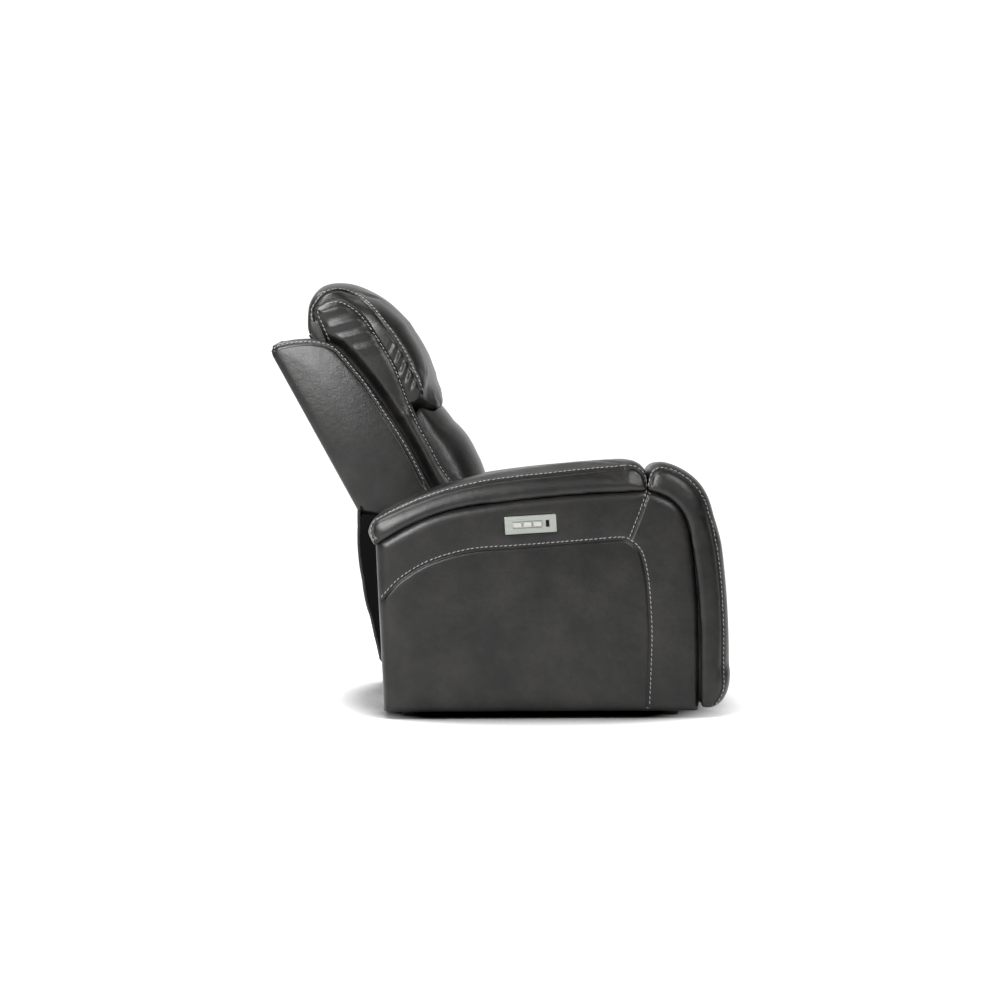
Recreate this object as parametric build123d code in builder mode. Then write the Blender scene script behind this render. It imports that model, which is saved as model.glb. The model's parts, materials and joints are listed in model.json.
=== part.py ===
"""Power recliner armchair, as an assembly of upholstery, frames and a steel reclining mechanism.

Millimetres. +X is the way the sitter faces, +Y is the sitter's left, +Z is up.
The origin is on the floor, under the middle of the chair. The right-hand pieces are
modelled at -Y, and the left-hand ones are their mirror images.
"""

import os
from math import acos, atan2, cos, degrees, hypot, radians, sin, sqrt

from build123d import *

os.makedirs("parts", exist_ok=True)

# Overall sizes
CHAIR_WIDTH = 960
ARM_WIDTH = 180
FOOT_HEIGHT = 16
SEAT_SPACE = CHAIR_WIDTH / 2 - ARM_WIDTH  # half the gap between the arms
SOFT_GAP = 0.4  # between upholstered pieces that lie against each other
SLIDE_GAP = 4  # between the seat or back and the arms
BUTT_GAP = 0.2  # between sawn or welded members that butt
CUT = 1  # how far a cut runs past what it cuts
WELD = 1  # how far a welded end runs into its neighbour

# Arm outline, as points (x, z) of its side view
ARM_HEEL_X = -262
ARM_REAR_X = -272
ARM_TOP_REAR = (-288, 412)
ARM_TOP_CURVE = (-154, 484)
ARM_TOP_MIDDLE = (0, 515)
ARM_TOP_FORE = (180, 534)
ARM_TOP_FRONT = (358, 543)
ARM_BROW = (432, 508)
ARM_CHEEK = (463, 425)
ARM_SHIN = (478, 290)
ARM_FRONT_X = 482
ARM_SHIN_FOOT_Z = 150
ARM_WALL = 20
ARM_EDGE_RADIUS = 16

# Pads on the top and the front of each arm
PAD_REAR_BULGE = (-300, 446)
PAD_REAR_TOP = (-286, 480)
PAD_TOP_CURVE = (-154, 546)
PAD_TOP_MIDDLE = (-10, 582)
PAD_TOP_FORE = (150, 602)
PAD_TOP_FRONT = (310, 615)
PAD_NOSE = (347, 606)
PAD_FRONT_X = 359
PAD_FRONT_Z = 580
PAD_EDGE_DROP = 24  # how far the pad's crown falls away at its sides
PAD_OVERHANG = 1
PAD_BUTT_GAP = 2.5  # between the top pad's end and the front pad
FRONT_PAD_TOP_Z = 584
FRONT_PAD_CROWN = ((374, 601), (398, 605))
FRONT_PAD_BROW = ((468, 570), (512, 480))
FRONT_PAD_SHIN = ((535, 300), (541, 118))
FRONT_PAD_TOE = ((534, 54), (508, 33))
FRONT_PAD_HEEL_Z = 34

# Lumber of the arm frames, and the feet
ARM_POST = 45
ARM_POST_INSET = 60
FRAME_CLEAR = 2
FOOT_RADIUS = 22
FOOT_SOLE_RADIUS = 18
FOOT_STEM_RADIUS = 9

# Back: a lean, and a heel where the outside back ends at the bottom
BACK_LEAN = 28.8  # degrees from upright, as photographed
BACK_HEEL = (-316, 484)
BACK_HEIGHT = 462
BACK_PANEL = 12
BACK_CAP = 30
WING_HALF = SEAT_SPACE - 2 * SLIDE_GAP  # outer faces of the wings
WING_THICK = 56
FRAME_HALF = WING_HALF - WING_THICK  # outer faces of the back's frame
WING_TOP_CURVE = ((62, BACK_HEIGHT - 19), (112, BACK_HEIGHT - 50))
WING_SHOULDER = ((138, BACK_HEIGHT - 80), (148, BACK_HEIGHT - 132))
WING_FRONT_LOW = (162, -18)
WING_FLARE = (192, -92)
WING_TOE_ANGLE = 14
WING_SOLE = (62, 25)  # distance and angle of the toe's inner corner from the back's pivot
WING_EDGE_RADIUS = 18
LUMBAR_TOP = 145
LUMBAR_BOTTOM = -140
LUMBAR_FRONT = 309
LUMBAR_FRONT_UP = 19
LUMBAR_CROWN = 94  # how much further the middle stands out than the sides
LUMBAR_TOE_ANGLE = 16
LUMBAR_TOE_FALL = 0.25  # share of the crown's fall that the toe takes
CREASE_ANGLE = -45
CHANNEL_HALF = 32
CHANNEL_DEPTH = 46
UPRIGHT_WIDTH = 36
UPRIGHT_DEPTH = 21
UPRIGHT_BOTTOM = -185
CAP_GAP = 10
UPRIGHT_TOP = BACK_HEIGHT - BACK_PANEL - CAP_GAP
BACK_RAIL = 40
BACK_RAIL_MIDDLE = -60
PANEL_BOTTOM = 3
BRACKET_FEET_UP = (20, 80)
BRACKET_WIDTH = 36
WEBBING = 2.5
WEBBING_WIDTH = 50

# Headrest, in the back's own coordinates: depth from the rear, height up the back
HEADREST_PIVOT = (240, 215)
HEADREST_DRUM = 74
DRUM_GAP = 4
HEADREST_FRONT = 313
HEADREST_CROWN = 55
HEADREST_BROW = (256, 489)
HEADREST_TOP = (205, 535)
HEADREST_NAPE_TOP = (124, 518)
HEADREST_NAPE = (100, 489)
HEADREST_REAR = (84, 455)
HEADREST_REAR_LOW = (112, 330)
HEADREST_BROW_FALL = (0.8, 0.15)  # shares of the crown's fall, in depth and in height
HEADREST_TOP_FALL = (0.55, 0.35)
NAPE_TOP_FALL = 0.2
NAPE_FALL = 0.1
DRUM_REAR_ANGLE = -170
HEADREST_BOARD = 12
HEADREST_ROD_RADIUS = 7
HEADREST_ARM = 3
HANGER = 3.8
HINGE_GAP = 1.2  # between a headrest arm and its hanger
SIDE_GAP = 2
HANGER_LAYER = FRAME_HALF - HANGER
ARM_LAYER = HANGER_LAYER - HINGE_GAP - HEADREST_ARM
CUSHION_HALF = ARM_LAYER - SIDE_GAP
HEADREST_BAR = 26
HEADREST_MID_TILT = 8  # degrees from the photographed tilt to the middle of the travel
HEADREST_SWING = 16  # degrees either side of the middle of the travel
HEADREST_LEVER = 188
LEVER_TUBE_RADIUS = 6
HEADREST_MOTOR = (-95, 60)
HEADREST_MOTOR_HALF = 22
SLIM_ROD_RADIUS = 7
SLIM_ROD_HOLD = 95
SLIM_RIM = 7

# Seat
RECLINE_PIVOT = (-110, 365)
RECLINE_DRUM = 145
SEAT_DRUM_GAP = 3
SEAT_BASE_Z = 373
SEAT_REAR_Z = 452
SEAT_CROWN = (250, 482)
SEAT_FRONT_TOP = (432, 470)
SEAT_FRONT_NOSE = (486, 436)
SEAT_FRONT_X = 498
SEAT_FRONT_Z = 405
SEAT_LIP_X = 468
SEAT_EDGE_DROP = 26
SEAT_LIP_BOW = (0.7, 0.3)  # where the lip's curve bulges, as shares of its run
SEAT_NOSE_FALL = (0.6, 0.5)
SEAT_RAIL_HEIGHT = 30
SEAT_RAIL = 20
SEAT_FRAME_REAR_X = 10
SEAT_FRAME_FRONT_X = 395
SEAT_STRAPS = 5

# Mechanism plates and links. Layers are counted outwards from the middle of the chair.
PLATE_GAP = 2
PLATE_IN = FRAME_HALF + PLATE_GAP
PLATE = 3
PLATE_EAR = 40
PLATE_BAR = 50
PLATE_LEG = 40
PLATE_BEND_X = -40
PLATE_BEND_RISE = 8
LINK = 4
LAYER_GAP = 2
LINK_WIDTH = 20
PIN_RADIUS = 5
PIN_HEAD_RADIUS = 8
PIN_HEAD = 2
PIN_FLANGE = 3  # how far a turned head stands out round its pin
STANDOFF_RADIUS = 10
SWING_EYE = 7
RUNNING_GAP = 0.05
HEAD_GAP = 0.3
SWING_LENGTH = 180
SWING_LEAN = 4  # degrees that the swing links lean back as photographed
SWING_TOP_Z = 312
SWING_REAR_X = -25
SWING_FRONT_X = 150
SWING_PIN_RADIUS = 6
RECLINE_PIN_RADIUS = 8

# Footrest scissor: the upper pivot, half a link, and the fold of the links either side
# of a line that runs forward and down
LIFT_PIVOT = (290, 322)
HALF_LINK = 124
SCISSOR_SLOPE = -16
FOLD_CLOSED = 84
FOLD_OPEN = 7
LIFT_TUBE_RADIUS = 11
TUBE_WALL = 2
CRANK = 70
CRANK_PIN_RADIUS = 6
CRANK_CHEEK = 8
CRANK_GAP = 1
BRACKET_FLANGE = 26
BRACKET_ARM_DROPS = (20, 30)
FOOTREST_BOARD_X = 405
FOOTREST_BOARD = 15
FOOTREST_HALF = SEAT_SPACE - 3 * SLIDE_GAP
FOOTREST_OVERHANG = 10
FOOTREST_BOARD_HALF = FOOTREST_HALF - FOOTREST_OVERHANG
FOOTREST_LOW = 62
FOOTREST_HIGH = 350
FOOTREST_THICK = 80
FOOTREST_CROWN = 20
FOOTREST_CORNER = 0.25  # how far the pad's rolled edge is from square

# Base rails, tie tubes and the rear rail
RAIL_LOW = 88
RAIL_HIGH = 176
RAIL_WEB = 3.5
RAIL_FLANGE = 26
RAIL_REAR_X = -214
RAIL_FRONT_X = 205
TIE_TUBE = 25
TIE_REAR_X = -180
TIE_FRONT_X = 120
REAR_RAIL_X = -236
REAR_RAIL = 18
REAR_RAIL_LOW = 32
REAR_RAIL_HIGH = 112
BOLT_RADIUS = 4
BOLT_HEAD_RADIUS = 7
BOLT_HEAD = 4
BOLT_GRIP = 46
BOLT_SPREAD = 20

# Flap that closes the rear under the back
FLAP_HINGE_UP = 10  # up the back from its heel
FLAP_BEAD = 5
FLAP = 9
FLAP_BULGE = (-339, 395)
FLAP_WAIST = (-306, 229)
FLAP_HEM = (-281, 118)

# Motors and their rods
CROSSBAR = 20
CROSSBAR_X = 100
MOTOR_SIDE = 56
MOTOR_OFFSET = 70
FOOTREST_MOTOR_X = (-50, 150)
RECLINE_MOTOR_X = (60, 232)
MOTOR_END_WALL = 8
ROD_HOLD = 120  # length of a rod inside its housing as photographed
ROD_RADIUS = 9
ROD_GAP = 0.1
YOKE = 10
YOKE_RIM = 9
YOKE_PLAY = 1.6  # slack of a yoke's slot on its pin, along the rod
CRANK_PLAY = 3.2  # the same on the crank, which swings further
SLOT_END_PLAY = 2
LEVER = 85
RECLINE_MID = 8.5  # degrees from the photographed recline to the middle of the travel
RECLINE_SWING = 16.5  # degrees either side of that
LEVER_TUBE = 11

# Controls on the outer side of the right arm
CONTROL_CENTRE = (81, 457)
CONTROL_TILT = 3.5
PLATE_LENGTH = 122
PLATE_HEIGHT = 42
PLATE_THICK = 3
BUTTON_LENGTH = 19
BUTTON_HEIGHT = 11
BUTTON_PITCH = 23.5
BUTTON_ROW_X = -7.5
BUTTON_GAP = 0.4
BUTTON_TRAVEL = 1.5
BUTTON_PROUD = BUTTON_TRAVEL + HEAD_GAP
BUTTON_FLANGE = 1.4
BUTTON_FLANGE_THICK = 2
SOCKET_X = 40
SOCKET_WIDTH = 6
SOCKET_HEIGHT = 14
SOCKET_DEPTH = 16
SOCKET_WALL = 1.2
HOUSING_DEPTH = 34
HOUSING_MARGIN = 6
HOUSING_WALL = 2.5

# Planes and layers worked out from the sizes above
BACK_PLANE = Plane(
    origin=(BACK_HEEL[0], 0, BACK_HEEL[1]),
    x_dir=(cos(radians(BACK_LEAN)), 0, sin(radians(BACK_LEAN))),
    z_dir=(0, -1, 0),
)
LAYER_B = PLATE_IN + PLATE + LAYER_GAP
LAYER_C = LAYER_B + LINK + LAYER_GAP
ARM_OUT = CHAIR_WIDTH / 2
RAIL_WEB_IN = SEAT_SPACE - SOFT_GAP - RAIL_WEB


def polar(centre, radius, angle):
    """A point at a distance and an angle, in degrees, from a centre."""
    return (centre[0] + radius * cos(radians(angle)), centre[1] + radius * sin(radians(angle)))


def height_on_arc(first, second, third, x):
    """Height at x of the upper half of the circle through three points."""
    (ax, az), (bx, bz), (cx, cz) = first, second, third
    d = 2 * (ax * (bz - cz) + bx * (cz - az) + cx * (az - bz))
    a2, b2, c2 = ax * ax + az * az, bx * bx + bz * bz, cx * cx + cz * cz
    ox = (a2 * (bz - cz) + b2 * (cz - az) + c2 * (az - bz)) / d
    oz = (a2 * (cx - bx) + b2 * (ax - cx) + c2 * (bx - ax)) / d
    return oz + sqrt((ax - ox) ** 2 + (az - oz) ** 2 - (x - ox) ** 2)


def raised(point, rise):
    """A point moved up."""
    return (point[0], point[1] + rise)


def in_back(point):
    """A chair point (x, z) in the back's own coordinates: depth, then height up the back."""
    local = BACK_PLANE.to_local_coords(Vector(point[0], 0, point[1]))
    return (local.X, local.Y)


def from_back(point):
    """A point of the back's own coordinates as a chair point (x, z)."""
    world = BACK_PLANE.from_local_coords(Vector(point[0], point[1], 0))
    return (world.X, world.Z)


def strap(start, end, width):
    """Adds a flat bar with round ends, between two points, to the sketch being drawn."""
    run = (end[0] - start[0], end[1] - start[1])
    with Locations(((start[0] + end[0]) / 2, (start[1] + end[1]) / 2)):
        SlotCenterToCenter(hypot(*run), width, rotation=degrees(atan2(run[1], run[0])))


def holes(points, radius):
    """Cuts round holes from the sketch being drawn."""
    with Locations(*points):
        Circle(radius, mode=Mode.SUBTRACT)


def keep(part, name):
    """Labels a finished piece and writes it."""
    part.label = name
    export_step(part, f"parts/{name}.step")


def keep_pair(part, name):
    """Writes a right-hand piece and its mirror image."""
    keep(part, f"{name}_right")
    with BuildPart() as twin:
        mirror(part, about=Plane.XZ)
    keep(twin.part, f"{name}_left")


def with_twin(part):
    """A right-hand piece and its mirror image as one group."""
    with BuildPart() as group:
        add(part)
        mirror(part, about=Plane.XZ)
    return group.part


# Scissor points, closed as photographed
SCISSOR_LINE = (cos(radians(SCISSOR_SLOPE)), sin(radians(SCISSOR_SLOPE)))


def on_scissor(along, below):
    """A point so far along the scissor's line from its upper pivot, and so far square below it."""
    return (
        LIFT_PIVOT[0] + along * SCISSOR_LINE[0] + below * SCISSOR_LINE[1],
        LIFT_PIVOT[1] + along * SCISSOR_LINE[1] - below * SCISSOR_LINE[0],
    )


REACH = HALF_LINK * cos(radians(FOLD_CLOSED))
DROP = HALF_LINK * sin(radians(FOLD_CLOSED))
CROSS_FOOT = on_scissor(0, 2 * DROP)
CROSS_FOOT_OPEN = on_scissor(0, 2 * HALF_LINK * sin(radians(FOLD_OPEN)))
LIFT_MIDDLE = on_scissor(REACH, DROP)
CROSS_HEAD = on_scissor(2 * REACH, 0)
LIFT_FOOT = on_scissor(2 * REACH, 2 * DROP)
FOOTREST_HUB = on_scissor(3 * REACH, DROP)

# Other pivots
SWING_TOPS = ((SWING_REAR_X, SWING_TOP_Z), (SWING_FRONT_X, SWING_TOP_Z))
SWING_FEET = tuple(polar(top, SWING_LENGTH, SWING_LEAN - 90) for top in SWING_TOPS)
LEVER_END = polar(RECLINE_PIVOT, LEVER, -90 - RECLINE_MID)
HEADREST_LEVER_END = polar(HEADREST_PIVOT, HEADREST_LEVER, 180 + HEADREST_MID_TILT)
CRANK_END = polar(LIFT_PIVOT, CRANK, -90 - (FOLD_CLOSED - FOLD_OPEN) / 2)
RECLINE_PIVOT_IN_BACK = in_back(RECLINE_PIVOT)


BOLT_X = (ARM_HEEL_X + ARM_POST_INSET, (ARM_HEEL_X + ARM_FRONT_X) / 2)
BOLT_MID_Z = (RAIL_LOW + RAIL_HIGH) / 2
BOLT_POINTS = tuple((x, BOLT_MID_Z + rise) for x in BOLT_X for rise in (-BOLT_SPREAD, BOLT_SPREAD))


# Arms: the upholstered cover, an open-bottomed shell
def draw_arm_side():
    """Draws the side view of an arm's cover in the sketch being drawn."""
    rear_top_z = height_on_arc(ARM_TOP_REAR, ARM_TOP_CURVE, ARM_TOP_MIDDLE, ARM_REAR_X)
    with BuildLine() as outline:
        ThreePointArc((ARM_REAR_X, rear_top_z), ARM_TOP_CURVE, ARM_TOP_MIDDLE)
        ThreePointArc(ARM_TOP_MIDDLE, ARM_TOP_FORE, ARM_TOP_FRONT)
        ThreePointArc(ARM_TOP_FRONT, ARM_BROW, ARM_CHEEK)
        ThreePointArc(ARM_CHEEK, ARM_SHIN, (ARM_FRONT_X, ARM_SHIN_FOOT_Z))
        Polyline(
            (ARM_FRONT_X, ARM_SHIN_FOOT_Z),
            (ARM_FRONT_X, FOOT_HEIGHT),
            (ARM_HEEL_X, FOOT_HEIGHT),
            (ARM_REAR_X, rear_top_z),
        )
    make_face(outline.edges())


def arm_cover(with_controls):
    """The leather and foam cover of the right-hand arm, open underneath."""
    with BuildPart() as cover:
        with BuildSketch(Plane.XZ.offset(SEAT_SPACE)):
            draw_arm_side()
        extrude(amount=ARM_WIDTH)
        outer_rim = cover.faces().sort_by(Axis.Y)[0].edges()
        fillet(outer_rim.filter_by(lambda edge: edge.center().Z > FOOT_HEIGHT + CUT), ARM_EDGE_RADIUS)
        with BuildSketch(Plane.XZ.offset(SEAT_SPACE + ARM_WALL)):
            draw_arm_side()
            offset(amount=-ARM_WALL, mode=Mode.REPLACE)
        extrude(amount=ARM_WIDTH - 2 * ARM_WALL, mode=Mode.SUBTRACT)
        mouth = (ARM_HEEL_X + ARM_WALL, ARM_FRONT_X - ARM_WALL)
        with Locations(((mouth[0] + mouth[1]) / 2, -SEAT_SPACE - ARM_WIDTH / 2, FOOT_HEIGHT)):
            Box(mouth[1] - mouth[0], ARM_WIDTH - 2 * ARM_WALL, 2 * ARM_WALL + CUT, mode=Mode.SUBTRACT)
        with BuildSketch(Plane.XZ.offset(SEAT_SPACE)):
            with Locations(*BOLT_POINTS):
                Circle(BOLT_RADIUS + RUNNING_GAP)
        extrude(amount=ARM_WALL + CUT, mode=Mode.SUBTRACT)
        if with_controls:
            with BuildSketch(CONTROL_PLANE):
                Rectangle(HOUSING_LENGTH + SOFT_GAP, HOUSING_HEIGHT + SOFT_GAP)
            extrude(amount=-ARM_WALL - CUT, mode=Mode.SUBTRACT)
    return cover.part


CONTROL_PLANE = Plane(
    origin=(CONTROL_CENTRE[0], -ARM_OUT, CONTROL_CENTRE[1]),
    x_dir=(cos(radians(CONTROL_TILT)), 0, sin(radians(CONTROL_TILT))),
    z_dir=(0, -1, 0),
)
HOUSING_LENGTH = PLATE_LENGTH - 2 * HOUSING_MARGIN
HOUSING_HEIGHT = PLATE_HEIGHT - 2 * HOUSING_MARGIN

keep(arm_cover(with_controls=True), "arm_cover_right")
with BuildPart() as arm_cover_left:
    mirror(arm_cover(with_controls=False), about=Plane.XZ)
keep(arm_cover_left.part, "arm_cover_left")


# Arm frames: sawn posts and rails inside the covers
FRAME_FLOOR = FOOT_HEIGHT + ARM_WALL + FRAME_CLEAR
FRAME_MID_Y = SEAT_SPACE + ARM_WIDTH / 2
FRAME_DEPTH = ARM_WIDTH - 2 * ARM_WALL - 2 * SOFT_GAP
ARM_BEAM_Z = ARM_TOP_REAR[1] - ARM_WALL - ARM_POST
ARM_POST_ENDS = (ARM_HEEL_X + ARM_POST_INSET, ARM_FRONT_X - ARM_POST_INSET)
ARM_POST_X = (ARM_POST_ENDS[0], sum(ARM_POST_ENDS) / 2, ARM_POST_ENDS[1])
STAND = (Align.CENTER, Align.CENTER, Align.MIN)

with BuildPart() as arm_frame:
    post_foot = FRAME_FLOOR + ARM_POST + BUTT_GAP
    for post_x in ARM_POST_X:
        with Locations((post_x, -FRAME_MID_Y, post_foot)):
            Box(ARM_POST, FRAME_DEPTH, ARM_BEAM_Z - BUTT_GAP - post_foot, align=STAND)
    for beam_z in (FRAME_FLOOR, ARM_BEAM_Z):
        with Locations((ARM_POST_X[1], -FRAME_MID_Y, beam_z)):
            Box(ARM_POST_X[2] - ARM_POST_X[0] + ARM_POST, FRAME_DEPTH, ARM_POST, align=STAND)
    with BuildSketch(Plane.XZ.offset(SEAT_SPACE)):
        with Locations(*BOLT_POINTS):
            Circle(BOLT_RADIUS + RUNNING_GAP)
    extrude(amount=BOLT_GRIP, mode=Mode.SUBTRACT)
keep_pair(arm_frame.part, "arm_frame")

# Feet: plastic glides on stems, one under each end of the arm frames
with BuildPart() as feet:
    for foot_x in ARM_POST_ENDS:
        with Locations((foot_x, -FRAME_MID_Y, 0)):
            Cone(FOOT_SOLE_RADIUS, FOOT_RADIUS, FOOT_HEIGHT, align=STAND)
            Cylinder(FOOT_STEM_RADIUS, FRAME_FLOOR - BUTT_GAP, align=STAND)
keep(with_twin(feet.part), "feet")


# Pads on the top and front of the arms, fullest along their middles
def draw_arm_pad(drop):
    """Side view of the top pad where its crown has fallen by a given drop."""
    rear_foot = raised(ARM_TOP_REAR, SOFT_GAP)
    rear_top = (PAD_REAR_TOP[0] + drop / 3, PAD_REAR_TOP[1] - drop / 2)
    nose_top = (PAD_TOP_FRONT[0] - drop / 3, PAD_TOP_FRONT[1] - drop)
    front_x = PAD_FRONT_X - drop / 4
    front_z = PAD_FRONT_Z - drop
    belly_z = height_on_arc(ARM_TOP_MIDDLE, ARM_TOP_FORE, ARM_TOP_FRONT, front_x) + SOFT_GAP
    with BuildLine() as outline:
        ThreePointArc(rear_foot, (PAD_REAR_BULGE[0] + drop / 3, PAD_REAR_BULGE[1] - drop / 3), rear_top)
        ThreePointArc(rear_top, raised(PAD_TOP_CURVE, -drop), raised(PAD_TOP_MIDDLE, -drop))
        ThreePointArc(raised(PAD_TOP_MIDDLE, -drop), raised(PAD_TOP_FORE, -drop), nose_top)
        ThreePointArc(nose_top, (PAD_NOSE[0] - drop / 3, PAD_NOSE[1] - drop), (front_x, front_z))
        Line((front_x, front_z), (front_x, belly_z))
        ThreePointArc((front_x, belly_z), raised(ARM_TOP_FORE, SOFT_GAP), raised(ARM_TOP_MIDDLE, SOFT_GAP))
        ThreePointArc(raised(ARM_TOP_MIDDLE, SOFT_GAP), raised(ARM_TOP_CURVE, SOFT_GAP), rear_foot)
    make_face(outline.edges())


def moved(point, across, up):
    """A point moved by so much."""
    return (point[0] + across, point[1] + up)


def draw_front_pad(drop):
    """Side view of the front pad where its crown has fallen by a given drop."""
    inner_x = PAD_FRONT_X + PAD_BUTT_GAP
    inner_z = height_on_arc(ARM_TOP_FRONT, ARM_BROW, ARM_CHEEK, inner_x - SOFT_GAP) + SOFT_GAP
    top_z = FRONT_PAD_TOP_Z - drop
    slant = drop * sqrt(0.5)
    crown = (moved(FRONT_PAD_CROWN[0], 0, -drop), moved(FRONT_PAD_CROWN[1], 0, -drop))
    brow = (moved(FRONT_PAD_BROW[0], -slant, -slant), moved(FRONT_PAD_BROW[1], -drop, 0))
    shin = (moved(FRONT_PAD_SHIN[0], -drop, 0), moved(FRONT_PAD_SHIN[1], -drop, 0))
    toe = (moved(FRONT_PAD_TOE[0], -drop, 0), moved(FRONT_PAD_TOE[1], -drop / 2, 0))
    cheek = moved(ARM_CHEEK, SOFT_GAP, SOFT_GAP)
    knee = (ARM_FRONT_X + SOFT_GAP, ARM_SHIN_FOOT_Z + SOFT_GAP)
    with BuildLine() as outline:
        Line((inner_x, inner_z), (inner_x, top_z))
        ThreePointArc((inner_x, top_z), *crown)
        ThreePointArc(crown[1], *brow)
        ThreePointArc(brow[1], *shin)
        ThreePointArc(shin[1], *toe)
        Polyline(toe[1], (knee[0], FRONT_PAD_HEEL_Z), knee)
        ThreePointArc(knee, moved(ARM_SHIN, SOFT_GAP, SOFT_GAP), cheek)
        ThreePointArc(cheek, moved(ARM_BROW, SOFT_GAP, SOFT_GAP), (inner_x, inner_z))
    make_face(outline.edges())


PAD_HALF = ARM_WIDTH / 2 + PAD_OVERHANG
PAD_SECTIONS = ((-1, 1), (-0.7, 0.22), (0, 0), (0.7, 0.22), (1, 1))  # place across, share of the drop

with BuildPart() as arm_pad:
    for place, share in PAD_SECTIONS:
        with BuildSketch(Plane.XZ.offset(FRAME_MID_Y + place * PAD_HALF)):
            draw_arm_pad(share * PAD_EDGE_DROP)
    loft()
keep_pair(arm_pad.part, "arm_pad")

with BuildPart() as arm_front_pad:
    for place, share in PAD_SECTIONS:
        with BuildSketch(Plane.XZ.offset(FRAME_MID_Y + place * PAD_HALF)):
            draw_front_pad(share * PAD_EDGE_DROP)
    loft()
keep_pair(arm_front_pad.part, "arm_front_pad")

# Controls: a metal plate over a plastic box let into the right arm, three buttons and a socket
PLATE_BACK = BUTT_GAP  # the plate stands this far off the cover
BUTTON_X = tuple(BUTTON_ROW_X + step * BUTTON_PITCH for step in (-1, 0, 1))
SOCKET_LENGTH = SOCKET_WIDTH + 2 * SOCKET_WALL
SOCKET_TALL = SOCKET_HEIGHT + 2 * SOCKET_WALL

with BuildPart() as control_plate:
    with BuildSketch(CONTROL_PLANE.offset(PLATE_BACK)):
        RectangleRounded(PLATE_LENGTH, PLATE_HEIGHT, PLATE_THICK)
        with Locations(*[(x, 0) for x in BUTTON_X]):
            Rectangle(BUTTON_LENGTH + 2 * BUTTON_GAP, BUTTON_HEIGHT + 2 * BUTTON_GAP, mode=Mode.SUBTRACT)
        with Locations((SOCKET_X, 0)):
            Rectangle(SOCKET_LENGTH + BUTTON_GAP, SOCKET_TALL + BUTTON_GAP, mode=Mode.SUBTRACT)
    extrude(amount=PLATE_THICK)
    front_rim = control_plate.faces().sort_by(Axis.Y)[0].outer_wire().edges()
    chamfer(front_rim, PLATE_THICK / 4)
keep(control_plate.part, "control_plate")

with BuildPart() as control_housing:
    with BuildSketch(CONTROL_PLANE):
        Rectangle(HOUSING_LENGTH, HOUSING_HEIGHT)
    extrude(amount=-HOUSING_DEPTH)
    with BuildSketch(CONTROL_PLANE):
        Rectangle(HOUSING_LENGTH - 2 * HOUSING_WALL, HOUSING_HEIGHT - 2 * HOUSING_WALL)
    extrude(amount=HOUSING_WALL - HOUSING_DEPTH, mode=Mode.SUBTRACT)
keep(control_housing.part, "control_housing")

with BuildPart() as usb_socket:
    with BuildSketch(CONTROL_PLANE.offset(PLATE_BACK + PLATE_THICK - BUTT_GAP)):
        with Locations((SOCKET_X, 0)):
            Rectangle(SOCKET_LENGTH, SOCKET_TALL)
    extrude(amount=-SOCKET_DEPTH - SOCKET_WALL)
    with BuildSketch(CONTROL_PLANE.offset(PLATE_BACK + PLATE_THICK)):
        with Locations((SOCKET_X, 0)):
            Rectangle(SOCKET_WIDTH, SOCKET_HEIGHT)
    extrude(amount=-SOCKET_DEPTH, mode=Mode.SUBTRACT)
keep(usb_socket.part, "usb_socket")

for button_x, button_name in zip(BUTTON_X, ("recline", "footrest", "headrest")):
    with BuildPart() as button:
        with BuildSketch(CONTROL_PLANE.offset(PLATE_BACK + PLATE_THICK + BUTTON_PROUD)):
            with Locations((button_x, 0)):
                RectangleRounded(BUTTON_LENGTH, BUTTON_HEIGHT, BUTTON_PROUD / 2)
        extrude(amount=-BUTTON_PROUD - PLATE_THICK - BUTT_GAP)
        with BuildSketch(CONTROL_PLANE.offset(PLATE_BACK - BUTT_GAP)):
            with Locations((button_x, 0)):
                Rectangle(BUTTON_LENGTH + 2 * BUTTON_FLANGE, BUTTON_HEIGHT + 2 * BUTTON_FLANGE)
        extrude(amount=-BUTTON_FLANGE_THICK)
        fillet(button.faces().sort_by(Axis.Y)[0].edges(), BUTTON_PROUD / 3)
    keep(button.part, f"{button_name}_button")

# Base: channel rails bolted to the arms, two tie tubes and a wooden rear rail
with BuildPart() as base_rail:
    with BuildSketch(Plane.YZ.offset(RAIL_REAR_X)):
        with BuildLine():
            Polyline(
                (-RAIL_WEB_IN - RAIL_WEB, RAIL_LOW),
                (-RAIL_WEB_IN + RAIL_FLANGE, RAIL_LOW),
                (-RAIL_WEB_IN + RAIL_FLANGE, RAIL_LOW + RAIL_WEB),
                (-RAIL_WEB_IN, RAIL_LOW + RAIL_WEB),
                (-RAIL_WEB_IN, RAIL_HIGH - RAIL_WEB),
                (-RAIL_WEB_IN + RAIL_FLANGE, RAIL_HIGH - RAIL_WEB),
                (-RAIL_WEB_IN + RAIL_FLANGE, RAIL_HIGH),
                (-RAIL_WEB_IN - RAIL_WEB, RAIL_HIGH),
                close=True,
            )
        make_face()
    extrude(amount=RAIL_FRONT_X - RAIL_REAR_X)
    with BuildSketch(Plane.XZ.offset(RAIL_WEB_IN)):
        with Locations(*BOLT_POINTS):
            Circle(BOLT_RADIUS + RUNNING_GAP)
    extrude(amount=RAIL_WEB, mode=Mode.SUBTRACT)
keep_pair(base_rail.part, "base_rail")

with BuildPart() as rail_bolts:
    with BuildSketch(Plane.XZ.offset(RAIL_WEB_IN)):
        with Locations(*BOLT_POINTS):
            RegularPolygon(BOLT_HEAD_RADIUS, 6)
    extrude(amount=-BOLT_HEAD)
    with BuildSketch(Plane.XZ.offset(RAIL_WEB_IN)):
        with Locations(*BOLT_POINTS):
            Circle(BOLT_RADIUS)
    extrude(amount=BOLT_GRIP)
keep(with_twin(rail_bolts.part), "rail_bolts")

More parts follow.
